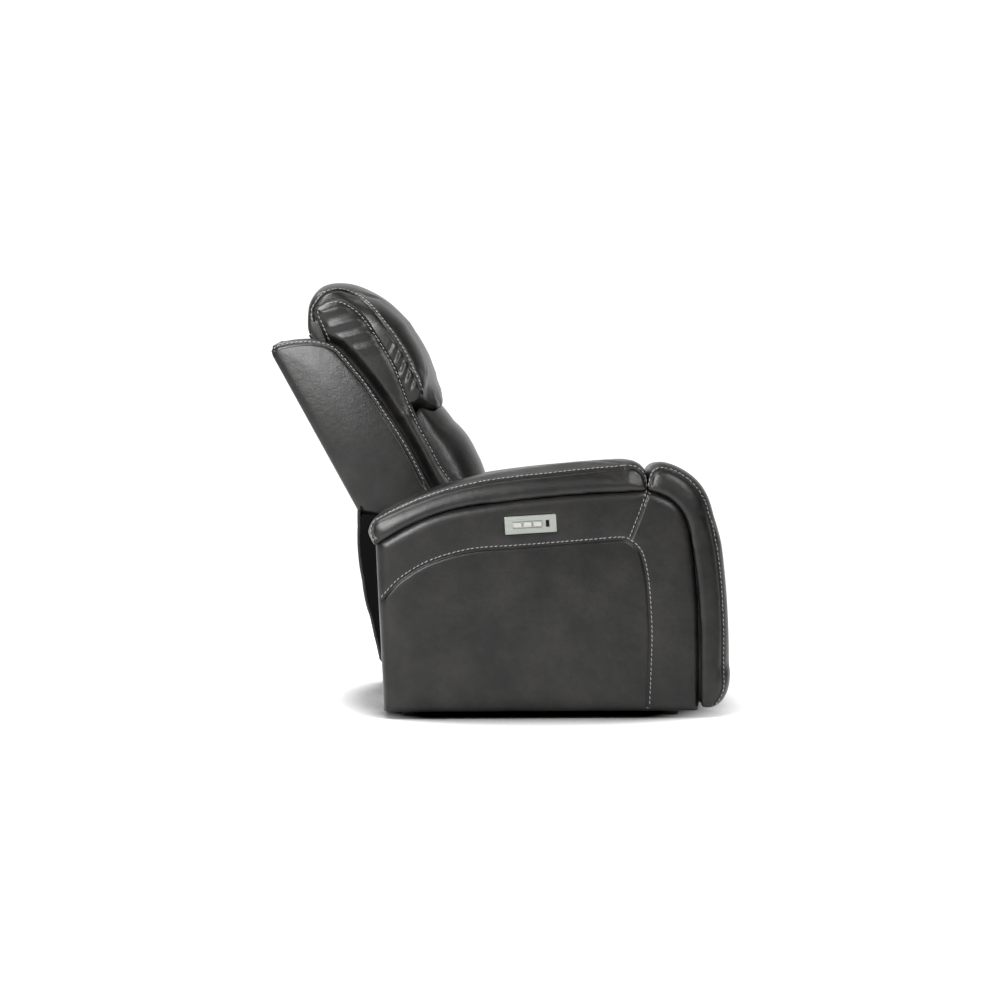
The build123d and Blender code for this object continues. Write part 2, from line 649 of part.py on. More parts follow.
with BuildPart() as tie_tubes:
    for tube_x in (TIE_REAR_X, TIE_FRONT_X):
        with BuildSketch(Plane.XZ.offset(-RAIL_WEB_IN)):
            with Locations((tube_x, RAIL_LOW - BUTT_GAP - TIE_TUBE / 2)):
                Rectangle(TIE_TUBE, TIE_TUBE)
                Rectangle(TIE_TUBE - 2 * TUBE_WALL, TIE_TUBE - 2 * TUBE_WALL, mode=Mode.SUBTRACT)
        extrude(amount=2 * RAIL_WEB_IN)
keep(tie_tubes.part, "tie_tubes")

with BuildPart() as rear_rail:
    with Locations((REAR_RAIL_X, 0, REAR_RAIL_LOW)):
        Box(
            REAR_RAIL,
            2 * (SEAT_SPACE - SOFT_GAP),
            REAR_RAIL_HIGH - REAR_RAIL_LOW,
            align=(Align.MIN, Align.CENTER, Align.MIN),
        )
keep(rear_rail.part, "rear_rail")


def stepped_pin(point, steps):
    """A turned pin on the right-hand side: steps of (from, to, radius) counted outwards."""
    for inner, outer, radius in steps:
        with BuildSketch(Plane.XZ.offset(inner)) as disc:
            with Locations(point):
                Circle(radius)
        extrude(disc.sketch, amount=outer - inner)


LINK_OUT = LAYER_B + LINK
with BuildPart() as base_pivot_pins:
    for foot in SWING_FEET:
        stepped_pin(
            foot,
            (
                (LAYER_B - HEAD_GAP - PIN_HEAD, LAYER_B - HEAD_GAP, SWING_PIN_RADIUS + PIN_FLANGE),
                (LAYER_B - HEAD_GAP, LINK_OUT + HEAD_GAP, SWING_PIN_RADIUS),
                (LINK_OUT + HEAD_GAP, RAIL_WEB_IN, STANDOFF_RADIUS),
            ),
        )
keep(with_twin(base_pivot_pins.part), "base_pivot_pins")

# Swing links, which carry the seat forward as the back reclines
SWING_WIDTH = 2 * (SWING_PIN_RADIUS + SWING_EYE)
for swing_top, swing_foot, swing_name in zip(SWING_TOPS, SWING_FEET, ("rear", "front")):
    with BuildPart() as swing_link:
        with BuildSketch(Plane.XZ.offset(LAYER_B)):
            strap(swing_top, swing_foot, SWING_WIDTH)
            holes((swing_top, swing_foot), SWING_PIN_RADIUS + RUNNING_GAP)
        extrude(amount=LINK)
    keep(with_twin(swing_link.part), f"{swing_name}_swing_links")

# Seat plates: a rear ear for the back's pivot, a bar, and a front leg with the scissor's slot
PLATE_BEND = (PLATE_BEND_X, SWING_TOP_Z + PLATE_BEND_RISE)
SLOT_WIDTH = 2 * (PIN_RADIUS + HEAD_GAP)

with BuildPart() as seat_plate:
    with BuildSketch(Plane.XZ.offset(PLATE_IN)):
        strap(RECLINE_PIVOT, PLATE_BEND, PLATE_EAR)
        strap(PLATE_BEND, LIFT_PIVOT, PLATE_BAR)
        strap(LIFT_PIVOT, CROSS_FOOT, PLATE_LEG)
        holes(SWING_TOPS, SWING_PIN_RADIUS + RUNNING_GAP)
        holes((RECLINE_PIVOT,), RECLINE_PIN_RADIUS + RUNNING_GAP)
        holes((LIFT_PIVOT,), LIFT_TUBE_RADIUS + RUNNING_GAP)
        slot_run = hypot(CROSS_FOOT[0] - CROSS_FOOT_OPEN[0], CROSS_FOOT[1] - CROSS_FOOT_OPEN[1])
        slot_mid = ((CROSS_FOOT[0] + CROSS_FOOT_OPEN[0]) / 2, (CROSS_FOOT[1] + CROSS_FOOT_OPEN[1]) / 2)
        with Locations(slot_mid):
            SlotCenterToCenter(slot_run, SLOT_WIDTH, rotation=90 + SCISSOR_SLOPE, mode=Mode.SUBTRACT)
    extrude(amount=PLATE)
keep_pair(seat_plate.part, "seat_plate")

with BuildPart() as seat_pivot_pins:
    inner_head = PLATE_IN - HEAD_GAP - PIN_HEAD
    pin_radii = (SWING_PIN_RADIUS, SWING_PIN_RADIUS, RECLINE_PIN_RADIUS)
    for pivot, radius in zip((*SWING_TOPS, RECLINE_PIVOT), pin_radii):
        stepped_pin(
            pivot,
            (
                (inner_head, PLATE_IN - HEAD_GAP, radius + PIN_FLANGE),
                (PLATE_IN - HEAD_GAP, LINK_OUT + HEAD_GAP, radius),
                (LINK_OUT + HEAD_GAP, LINK_OUT + HEAD_GAP + PIN_HEAD, radius + PIN_FLANGE),
            ),
        )
keep(with_twin(seat_pivot_pins.part), "seat_pivot_pins")

# Seat frame of four sawn rails, with straps of webbing over it
SEAT_FRAME_TOP = SEAT_BASE_Z - WEBBING - 2 * BUTT_GAP
SEAT_FRAME_MID_X = (SEAT_FRAME_REAR_X + SEAT_FRAME_FRONT_X) / 2
SEAT_FRAME_LENGTH = SEAT_FRAME_FRONT_X - SEAT_FRAME_REAR_X
SEAT_FRAME_HALF = PLATE_IN - HEAD_GAP
HANG = (Align.CENTER, Align.CENTER, Align.MAX)

with BuildPart() as seat_frame:
    for side in (-1, 1):
        with Locations((SEAT_FRAME_MID_X, side * (SEAT_FRAME_HALF - SEAT_RAIL / 2), SEAT_FRAME_TOP)):
            Box(SEAT_FRAME_LENGTH, SEAT_RAIL, SEAT_RAIL_HEIGHT, align=HANG)
    for rail_x in (SEAT_FRAME_REAR_X + SEAT_RAIL / 2, SEAT_FRAME_FRONT_X - SEAT_RAIL / 2):
        with Locations((rail_x, 0, SEAT_FRAME_TOP)):
            Box(SEAT_RAIL, 2 * (SEAT_FRAME_HALF - SEAT_RAIL - BUTT_GAP), SEAT_RAIL_HEIGHT, align=HANG)
keep(seat_frame.part, "seat_frame")

STRAP_PITCH = 2 * (SEAT_FRAME_HALF - SEAT_RAIL) / SEAT_STRAPS
with BuildPart() as seat_webbing:
    for step in range(SEAT_STRAPS):
        strap_y = (step - (SEAT_STRAPS - 1) / 2) * STRAP_PITCH
        with Locations((SEAT_FRAME_MID_X, strap_y, SEAT_FRAME_TOP + BUTT_GAP)):
            Box(SEAT_FRAME_LENGTH, WEBBING_WIDTH, WEBBING, align=STAND)
keep(seat_webbing.part, "seat_webbing")


def draw_seat_cushion(drop):
    """Side view of the seat cushion where its crown has fallen by a given drop."""
    hollow = RECLINE_DRUM + SEAT_DRUM_GAP
    rear_z = SEAT_REAR_Z - drop / 2
    heights = (rear_z, (rear_z + SEAT_BASE_Z) / 2, SEAT_BASE_Z)
    rear = [(RECLINE_PIVOT[0] + sqrt(hollow**2 - (z - RECLINE_PIVOT[1]) ** 2), z) for z in heights]
    front_top = moved(SEAT_FRONT_TOP, -drop / 2, -drop)
    front = (SEAT_FRONT_X - drop / 2, SEAT_FRONT_Z)
    lip = (SEAT_LIP_X - drop / 2, SEAT_BASE_Z)
    lip_bow = moved(lip, (front[0] - lip[0]) * SEAT_LIP_BOW[0], (front[1] - lip[1]) * SEAT_LIP_BOW[1])
    nose = moved(SEAT_FRONT_NOSE, -drop * SEAT_NOSE_FALL[0], -drop * SEAT_NOSE_FALL[1])
    with BuildLine() as outline:
        ThreePointArc(*rear)
        Line(rear[2], lip)
        ThreePointArc(lip, lip_bow, front)
        ThreePointArc(front, nose, front_top)
        ThreePointArc(front_top, raised(SEAT_CROWN, -drop), rear[0])
    make_face(outline.edges())


CUSHION_SECTIONS = ((-1, 1), (-0.66, 0.18), (0, 0), (0.66, 0.18), (1, 1))
with BuildPart() as seat_cushion:
    for place, share in CUSHION_SECTIONS:
        with BuildSketch(Plane.XZ.offset(place * (SEAT_SPACE - SLIDE_GAP))):
            draw_seat_cushion(share * SEAT_EDGE_DROP)
    loft()
keep(seat_cushion.part, "seat_cushion")

# Footrest scissor: lift links welded to a torque tube, cross links, tie links and brackets
CROSS_OUT = LAYER_C + LINK


def link_rivet(point):
    """A rivet from a link of the inner layer through one of the outer layer."""
    stepped_pin(
        point,
        (
            (LAYER_B, CROSS_OUT + HEAD_GAP, PIN_RADIUS),
            (CROSS_OUT + HEAD_GAP, CROSS_OUT + HEAD_GAP + PIN_HEAD, PIN_HEAD_RADIUS),
        ),
    )


with BuildPart() as lift_link:
    with BuildSketch(Plane.XZ.offset(LAYER_B)):
        strap(LIFT_PIVOT, LIFT_FOOT, LINK_WIDTH)
        with Locations(LIFT_PIVOT):
            Circle(LIFT_TUBE_RADIUS + PIN_FLANGE)
        holes((LIFT_PIVOT,), LIFT_TUBE_RADIUS + RUNNING_GAP)
    extrude(amount=LINK)
    for rivet_at in (LIFT_MIDDLE, LIFT_FOOT):
        link_rivet(rivet_at)
keep(with_twin(lift_link.part), "lift_links")

with BuildPart() as cross_link:
    with BuildSketch(Plane.XZ.offset(LAYER_C)):
        strap(CROSS_FOOT, CROSS_HEAD, LINK_WIDTH)
        holes((LIFT_MIDDLE, CROSS_HEAD), PIN_RADIUS + RUNNING_GAP)
    extrude(amount=LINK)
    stepped_pin(
        CROSS_FOOT,
        (
            (PLATE_IN - HEAD_GAP - PIN_HEAD, PLATE_IN - HEAD_GAP, PIN_HEAD_RADIUS),
            (PLATE_IN - HEAD_GAP, LAYER_C, PIN_RADIUS),
        ),
    )
keep(with_twin(cross_link.part), "cross_links")

with BuildPart() as tie_link:
    with BuildSketch(Plane.XZ.offset(LAYER_C)):
        strap(LIFT_FOOT, FOOTREST_HUB, LINK_WIDTH)
        holes((LIFT_FOOT, FOOTREST_HUB), PIN_RADIUS + RUNNING_GAP)
    extrude(amount=LINK)
keep(with_twin(tie_link.part), "tie_links")

BRACKET_ARMS_Z = (CROSS_HEAD[1] - BRACKET_ARM_DROPS[0], FOOTREST_HUB[1] - BRACKET_ARM_DROPS[1])
BRACKET_TIP_X = FOOTREST_BOARD_X - BUTT_GAP - LINK - LINK_WIDTH / 2 + WELD
with BuildPart() as footrest_bracket:
    with BuildSketch(Plane.XZ.offset(LAYER_B)):
        strap(CROSS_HEAD, FOOTREST_HUB, LINK_WIDTH)
        for hub, tip_z in zip((CROSS_HEAD, FOOTREST_HUB), BRACKET_ARMS_Z):
            strap(hub, (BRACKET_TIP_X, tip_z), LINK_WIDTH)
    extrude(amount=LINK)
    flange_low = BRACKET_ARMS_Z[1] - LINK_WIDTH
    flange_high = BRACKET_ARMS_Z[0] + LINK_WIDTH
    with Locations((FOOTREST_BOARD_X - BUTT_GAP, -LINK_OUT, flange_low)):
        Box(LINK, BRACKET_FLANGE, flange_high - flange_low, align=(Align.MAX, Align.MIN, Align.MIN))
    for rivet_at in (CROSS_HEAD, FOOTREST_HUB):
        link_rivet(rivet_at)
keep_pair(footrest_bracket.part, "footrest_bracket")

CRANK_WIDTH = 2 * (LIFT_TUBE_RADIUS + PIN_RADIUS)
CRANK_Y = MOTOR_OFFSET - ROD_RADIUS - CRANK_GAP
with BuildPart() as footrest_torque_tube:
    with BuildSketch(Plane.XZ.offset(-LINK_OUT)):
        with Locations(LIFT_PIVOT):
            Circle(LIFT_TUBE_RADIUS)
            Circle(LIFT_TUBE_RADIUS - TUBE_WALL, mode=Mode.SUBTRACT)
    extrude(amount=2 * LINK_OUT)
    with BuildSketch(Plane.XZ.offset(-CRANK_Y)):
        strap(LIFT_PIVOT, CRANK_END, CRANK_WIDTH - PIN_RADIUS)
        with Locations(LIFT_PIVOT):
            Circle(CRANK_WIDTH / 2)
        holes((LIFT_PIVOT,), LIFT_TUBE_RADIUS - TUBE_WALL / 2)
    extrude(amount=CRANK_CHEEK)
    with BuildSketch(Plane.XZ.offset(-CRANK_Y)):
        with Locations(CRANK_END):
            Circle(CRANK_PIN_RADIUS)
    extrude(amount=-ROD_RADIUS - YOKE / 2 - PIN_FLANGE)
keep(footrest_torque_tube.part, "footrest_torque_tube")

with BuildPart() as footrest_board:
    with BuildSketch(Plane.YZ.offset(FOOTREST_BOARD_X)):
        with Locations((0, (FOOTREST_LOW + FOOTREST_HIGH) / 2)):
            RectangleRounded(2 * FOOTREST_BOARD_HALF, FOOTREST_HIGH - FOOTREST_LOW - 2 * SEAT_RAIL, SEAT_RAIL)
    extrude(amount=FOOTREST_BOARD)
keep(footrest_board.part, "footrest_board")


def draw_footrest_pad(drop):
    """Side view of the closed footrest's pad where its crown has fallen by a given drop."""
    rear_x = FOOTREST_BOARD_X + FOOTREST_BOARD + SOFT_GAP
    face_x = rear_x + FOOTREST_THICK - drop
    edge_x = rear_x + FOOTREST_THICK / 4
    roll = FOOTREST_THICK / 2
    low, high = FOOTREST_LOW + drop / 2, FOOTREST_HIGH - drop / 2
    shoulder_x = face_x - FOOTREST_THICK / 10
    corner_x = shoulder_x - (shoulder_x - edge_x) * FOOTREST_CORNER
    with BuildLine() as outline:
        Polyline((edge_x, high), (rear_x, high), (rear_x, low), (edge_x, low))
        ThreePointArc((edge_x, low), (corner_x, low + roll * FOOTREST_CORNER), (shoulder_x, low + roll))
        ThreePointArc((shoulder_x, low + roll), (face_x, (low + high) / 2), (shoulder_x, high - roll))
        ThreePointArc((shoulder_x, high - roll), (corner_x, high - roll * FOOTREST_CORNER), (edge_x, high))
    make_face(outline.edges())


with BuildPart() as footrest_pad:
    for place, share in CUSHION_SECTIONS:
        with BuildSketch(Plane.XZ.offset(place * FOOTREST_HALF)):
            draw_footrest_pad(share * FOOTREST_CROWN)
    loft()
keep(footrest_pad.part, "footrest_pad")

# Motors under the seat: housings on a crossbar, and rods that end in slotted yokes
CROSSBAR_TOP = SEAT_FRAME_TOP - SEAT_RAIL_HEIGHT - HEAD_GAP
FOOTREST_ROD_Z = (CRANK_END[1] + LIFT_PIVOT[1] - CRANK) / 2
RECLINE_ROD_Z = LEVER_END[1]

with BuildPart() as motor_crossbar:
    with Locations((CROSSBAR_X, 0, CROSSBAR_TOP)):
        Box(CROSSBAR, 2 * SEAT_FRAME_HALF, CROSSBAR, align=HANG)
keep(motor_crossbar.part, "motor_crossbar")


def motor(span, y, axis_z, mouth_at_front):
    """A motor housing along X with a blind bore for its rod and a lug up to the crossbar."""
    length = span[1] - span[0]
    with BuildPart() as housing:
        with Locations(((span[0] + span[1]) / 2, y, axis_z)):
            Box(length, MOTOR_SIDE, MOTOR_SIDE)
        fillet(housing.edges().filter_by(Axis.X), MOTOR_SIDE / 6)
        with Locations((CROSSBAR_X, y, axis_z)):
            Box(CROSSBAR, CROSSBAR, CROSSBAR_TOP - CROSSBAR - BUTT_GAP - axis_z, align=STAND)
        blind = span[0] + MOTOR_END_WALL if mouth_at_front else span[0]
        with BuildSketch(Plane.YZ.offset(blind)):
            with Locations((y, axis_z)):
                Circle(ROD_RADIUS + ROD_GAP)
        extrude(amount=length - MOTOR_END_WALL, mode=Mode.SUBTRACT)
    return housing.part


def draw_yoke(centre, along, across):
    """A slotted yoke: its slot is so wide along the rod and so tall across it."""
    with Locations(centre):
        RectangleRounded(along + 2 * YOKE_RIM, across + 2 * YOKE_RIM, YOKE_RIM / 2)
        Rectangle(along, across, mode=Mode.SUBTRACT)


keep(motor(FOOTREST_MOTOR_X, MOTOR_OFFSET, FOOTREST_ROD_Z, True), "footrest_motor")
keep(motor(RECLINE_MOTOR_X, -MOTOR_OFFSET, RECLINE_ROD_Z, False), "recline_motor")

CRANK_RISE = CRANK_END[1] - LIFT_PIVOT[1] + CRANK
with BuildPart() as footrest_rod:
    slot_along = 2 * CRANK_PIN_RADIUS + CRANK_PLAY
    with BuildSketch(Plane.XZ.offset(-MOTOR_OFFSET - YOKE / 2)):
        draw_yoke((CRANK_END[0], FOOTREST_ROD_Z), slot_along, slot_along + CRANK_RISE + SLOT_END_PLAY)
    extrude(amount=YOKE)
    rod_tip = CRANK_END[0] - slot_along / 2 - YOKE_RIM / 2
    with BuildSketch(Plane.YZ.offset(FOOTREST_MOTOR_X[1] - ROD_HOLD)):
        with Locations((MOTOR_OFFSET, FOOTREST_ROD_Z)):
            Circle(ROD_RADIUS)
    extrude(amount=rod_tip - FOOTREST_MOTOR_X[1] + ROD_HOLD)
keep(footrest_rod.part, "footrest_rod")

LEVER_RISE = LEVER * (1 - cos(radians(RECLINE_SWING)))
with BuildPart() as recline_rod:
    slot_along = 2 * LEVER_TUBE + YOKE_PLAY
    with BuildSketch(Plane.XZ.offset(MOTOR_OFFSET - YOKE / 2)):
        draw_yoke((LEVER_END[0], RECLINE_ROD_Z), slot_along, slot_along + 2 * LEVER_RISE)
    extrude(amount=YOKE)
    rod_tip = LEVER_END[0] + slot_along / 2 + YOKE_RIM / 2
    with BuildSketch(Plane.YZ.offset(rod_tip)):
        with Locations((-MOTOR_OFFSET, RECLINE_ROD_Z)):
            Circle(ROD_RADIUS)
    extrude(amount=RECLINE_MOTOR_X[0] + ROD_HOLD - rod_tip)
keep(recline_rod.part, "recline_rod")

# Back: steel uprights with rails, brackets down to the pivot, and a torque tube between them
UPRIGHT_REAR = BACK_PANEL + HEAD_GAP
UPRIGHT_FRONT = UPRIGHT_REAR + UPRIGHT_DEPTH
RAIL_HALF = FRAME_HALF - UPRIGHT_WIDTH - BUTT_GAP
BACK_RAIL_LOWS = (UPRIGHT_BOTTOM, BACK_RAIL_MIDDLE, UPRIGHT_TOP - BACK_RAIL)
CORNER = (Align.MIN, Align.MIN)

with BuildPart() as back_frame:
    for inner in (FRAME_HALF - UPRIGHT_WIDTH, -FRAME_HALF):
        with BuildSketch(BACK_PLANE.offset(inner)):
            with Locations((UPRIGHT_REAR, UPRIGHT_BOTTOM)):
                Rectangle(UPRIGHT_DEPTH, UPRIGHT_TOP - UPRIGHT_BOTTOM, align=CORNER)
        extrude(amount=UPRIGHT_WIDTH)
    with BuildSketch(BACK_PLANE.offset(-RAIL_HALF)):
        with Locations(*[(UPRIGHT_REAR, low) for low in BACK_RAIL_LOWS]):
            Rectangle(UPRIGHT_DEPTH, BACK_RAIL, align=CORNER)
    extrude(amount=2 * RAIL_HALF)
keep(back_frame.part, "back_frame")

UPRIGHT_MIDDLE = UPRIGHT_REAR + UPRIGHT_DEPTH / 2
BRACKET_FEET = tuple(from_back((UPRIGHT_MIDDLE, UPRIGHT_BOTTOM + up)) for up in BRACKET_FEET_UP)
with BuildPart() as back_bracket:
    with BuildSketch(Plane.XZ.offset(LAYER_B)):
        strap(RECLINE_PIVOT, LEVER_END, BRACKET_WIDTH)
        strap(*BRACKET_FEET, BRACKET_WIDTH)
        for bracket_foot in BRACKET_FEET:
            strap(RECLINE_PIVOT, bracket_foot, BRACKET_WIDTH)
        holes((RECLINE_PIVOT,), RECLINE_PIN_RADIUS + RUNNING_GAP)
        holes((LEVER_END,), LEVER_TUBE + RUNNING_GAP)
    extrude(amount=LINK)
    with BuildSketch(Plane.XZ.offset(FRAME_HALF + BUTT_GAP)):
        strap(*BRACKET_FEET, UPRIGHT_DEPTH - WELD)
    extrude(amount=LAYER_B - FRAME_HALF - BUTT_GAP)
keep_pair(back_bracket.part, "back_bracket")

with BuildPart() as recline_torque_tube:
    with BuildSketch(Plane.XZ.offset(-LINK_OUT)):
        with Locations(LEVER_END):
            Circle(LEVER_TUBE)
            Circle(LEVER_TUBE - TUBE_WALL, mode=Mode.SUBTRACT)
    extrude(amount=2 * LINK_OUT)
keep(recline_torque_tube.part, "recline_torque_tube")

# Outside back: a panel with a short cap, between two padded wings
with BuildPart() as back_panel:
    panel_half = FRAME_HALF - BUTT_GAP
    with BuildSketch(BACK_PLANE.offset(-panel_half)):
        with Locations((0, PANEL_BOTTOM)):
            Rectangle(BACK_PANEL, BACK_HEIGHT - PANEL_BOTTOM, align=CORNER)
        with Locations((0, BACK_HEIGHT - BACK_PANEL)):
            Rectangle(BACK_CAP, BACK_PANEL, align=CORNER)
    extrude(amount=2 * panel_half)
keep(back_panel.part, "back_panel")

wing_toe = polar(RECLINE_PIVOT_IN_BACK, RECLINE_DRUM, WING_TOE_ANGLE)
with BuildPart() as wing:
    with BuildSketch(BACK_PLANE.offset(FRAME_HALF + HEAD_GAP)):
        with BuildLine():
            ThreePointArc((0, BACK_HEIGHT), *WING_TOP_CURVE)
            ThreePointArc(WING_TOP_CURVE[1], *WING_SHOULDER)
            Line(WING_SHOULDER[1], WING_FRONT_LOW)
            ThreePointArc(WING_FRONT_LOW, WING_FLARE, wing_toe)
            Polyline(wing_toe, polar(RECLINE_PIVOT_IN_BACK, *WING_SOLE), (0, 0), (0, BACK_HEIGHT))
        make_face()
    extrude(amount=WING_THICK - HEAD_GAP)
    fillet(wing.faces().sort_by(Axis.Y)[0].edges(), WING_EDGE_RADIUS)
keep_pair(wing.part, "wing")

# Webbing, cushions and the headrest's hinge
WEBBING_FRONT = UPRIGHT_FRONT + BUTT_GAP + WEBBING
BACK_STRAP_PITCH = (RAIL_HALF - WEBBING_WIDTH) / 2
with BuildPart() as back_webbing:
    for step in (-2, -1, 1, 2):
        with BuildSketch(BACK_PLANE.offset(step * BACK_STRAP_PITCH - WEBBING_WIDTH / 2)):
            with Locations((UPRIGHT_FRONT + BUTT_GAP, UPRIGHT_BOTTOM)):
                Rectangle(WEBBING, UPRIGHT_TOP - UPRIGHT_BOTTOM, align=CORNER)
        extrude(amount=WEBBING_WIDTH)
keep(back_webbing.part, "back_webbing")


def arc_about(centre, radius, start, end):
    """Adds an arc about a centre, between two angles, to the line being drawn."""
    middle = polar(centre, radius, (start + end) / 2)
    ThreePointArc(polar(centre, radius, start), middle, polar(centre, radius, end))


def draw_lumbar(fall):
    """Section of the lumbar cushion where its front has fallen back from the middle."""
    crease = polar(HEADREST_PIVOT, HEADREST_DRUM, CREASE_ANGLE)
    toe = moved(polar(RECLINE_PIVOT_IN_BACK, RECLINE_DRUM, LUMBAR_TOE_ANGLE), -fall * LUMBAR_TOE_FALL, 0)
    rear = WEBBING_FRONT + BUTT_GAP
    with BuildLine() as outline:
        ThreePointArc(moved(crease, -fall, 0), (LUMBAR_FRONT - fall, LUMBAR_FRONT_UP), toe)
        Polyline(
            toe,
            (rear + UPRIGHT_DEPTH, LUMBAR_BOTTOM),
            (rear, LUMBAR_BOTTOM + UPRIGHT_DEPTH),
            (rear, LUMBAR_TOP),
            moved(crease, -fall, 0),
        )
    make_face(outline.edges())


def draw_headrest(fall):
    """Section of the headrest cushion where its front has fallen back from the middle."""
    chin_depth = HEADREST_DRUM * cos(radians(CREASE_ANGLE)) - fall
    chin = -degrees(acos(chin_depth / HEADREST_DRUM))
    brow = moved(HEADREST_BROW, -fall * HEADREST_BROW_FALL[0], -fall * HEADREST_BROW_FALL[1])
    top = moved(HEADREST_TOP, -fall * HEADREST_TOP_FALL[0], -fall * HEADREST_TOP_FALL[1])
    nape_top = raised(HEADREST_NAPE_TOP, -fall * NAPE_TOP_FALL)
    face = (HEADREST_FRONT - fall, (HEADREST_PIVOT[1] + HEADREST_REAR[1]) / 2 - HEADREST_DRUM / 2)
    with BuildLine() as outline:
        arc_about(HEADREST_PIVOT, HEADREST_DRUM, DRUM_REAR_ANGLE, chin)
        ThreePointArc(polar(HEADREST_PIVOT, HEADREST_DRUM, chin), face, brow)
        ThreePointArc(brow, top, nape_top)
        ThreePointArc(nape_top, raised(HEADREST_NAPE, -fall * NAPE_FALL), HEADREST_REAR)
        Polyline(HEADREST_REAR, HEADREST_REAR_LOW, polar(HEADREST_PIVOT, HEADREST_DRUM, DRUM_REAR_ANGLE))
    make_face(outline.edges())


with BuildPart() as lumbar_cushion:
    for place, share in CUSHION_SECTIONS:
        with BuildSketch(BACK_PLANE.offset(place * CUSHION_HALF)):
            draw_lumbar(share * LUMBAR_CROWN)
    loft()
    with BuildSketch(BACK_PLANE.offset(-CHANNEL_HALF)):
        with Locations((0, LUMBAR_BOTTOM - CHANNEL_DEPTH)):
            channel_length = LUMBAR_TOP - LUMBAR_BOTTOM + 2 * CHANNEL_DEPTH
            Rectangle(WEBBING_FRONT + CHANNEL_DEPTH, channel_length, align=CORNER)
    extrude(amount=2 * CHANNEL_HALF, mode=Mode.SUBTRACT)
    with BuildSketch(BACK_PLANE.offset(-CUSHION_HALF)):
        with Locations(HEADREST_PIVOT):
            Circle(HEADREST_DRUM + DRUM_GAP)
    extrude(amount=2 * CUSHION_HALF, mode=Mode.SUBTRACT)
keep(lumbar_cushion.part, "lumbar_cushion")

ROD_BORE = HEADREST_ROD_RADIUS + SIDE_GAP
with BuildPart() as headrest_cushion:
    for place, share in CUSHION_SECTIONS:
        with BuildSketch(BACK_PLANE.offset(place * CUSHION_HALF)):
            draw_headrest(share * HEADREST_CROWN)
    loft()
    with BuildSketch(BACK_PLANE.offset(-CUSHION_HALF)):
        with Locations(HEADREST_PIVOT):
            Circle(ROD_BORE)
    extrude(amount=2 * CUSHION_HALF, mode=Mode.SUBTRACT)
keep(headrest_cushion.part, "headrest_cushion")

with BuildPart() as headrest_hanger:
    with BuildSketch(BACK_PLANE.offset(HANGER_LAYER)):
        hanger_run = HEADREST_PIVOT[0] - UPRIGHT_FRONT - BUTT_GAP
        with Locations((UPRIGHT_FRONT + BUTT_GAP, HEADREST_PIVOT[1])):
            Rectangle(hanger_run, HEADREST_BAR, align=(Align.MIN, Align.CENTER))
        with Locations(HEADREST_PIVOT):
            Circle(HEADREST_BAR / 2)
        holes((HEADREST_PIVOT,), HEADREST_ROD_RADIUS + RUNNING_GAP)
    extrude(amount=HANGER)
keep(with_twin(headrest_hanger.part), "headrest_hangers")

with BuildPart() as headrest_pivot_rod:
    with BuildSketch(BACK_PLANE.offset(-FRAME_HALF)):
        with Locations(HEADREST_PIVOT):
            Circle(HEADREST_ROD_RADIUS)
    extrude(amount=2 * FRAME_HALF)
keep(headrest_pivot_rod.part, "headrest_pivot_rod")

NAPE_RISE = (HEADREST_REAR[0] - HEADREST_REAR_LOW[0], HEADREST_REAR[1] - HEADREST_REAR_LOW[1])
NAPE_MIDDLE = moved(HEADREST_REAR_LOW, NAPE_RISE[0] / 2, NAPE_RISE[1] / 2)
with BuildPart() as headrest_bracket:
    with BuildSketch(BACK_PLANE.offset(ARM_LAYER)):
        strap(HEADREST_PIVOT, HEADREST_LEVER_END, HEADREST_BAR)
        strap(HEADREST_PIVOT, moved(NAPE_MIDDLE, -HEADREST_BOARD / 2, 0), HEADREST_BAR)
        holes((HEADREST_PIVOT,), HEADREST_ROD_RADIUS + RUNNING_GAP)
    extrude(amount=HEADREST_ARM)
    mirror(about=Plane.XZ)
    tube_half = ARM_LAYER - BUTT_GAP
    with BuildSketch(BACK_PLANE.offset(-tube_half)):
        with Locations(HEADREST_LEVER_END):
            Circle(LEVER_TUBE_RADIUS)
    extrude(amount=2 * tube_half)
keep(headrest_bracket.part, "headrest_bracket")

with BuildPart() as headrest_board:
    board_half = ARM_LAYER - BUTT_GAP
    slope = degrees(atan2(NAPE_RISE[1], NAPE_RISE[0]))
    board_run = hypot(*NAPE_RISE)
    with BuildSketch(BACK_PLANE.offset(-board_half)):
        with Locations(polar(NAPE_MIDDLE, HEADREST_BOARD / 2 + SOFT_GAP, slope + 90)):
            Rectangle(board_run - SEAT_RAIL, HEADREST_BOARD, rotation=slope)
    extrude(amount=2 * board_half)
keep(headrest_board.part, "headrest_board")

# Headrest motor in the lumbar cushion's channel, with a yoke on the headrest's lever tube
LEVER_BOW = HEADREST_LEVER * (1 - cos(radians(HEADREST_SWING)))
HEADREST_ROD_DEPTH = HEADREST_PIVOT[0] - HEADREST_LEVER + LEVER_BOW / 2

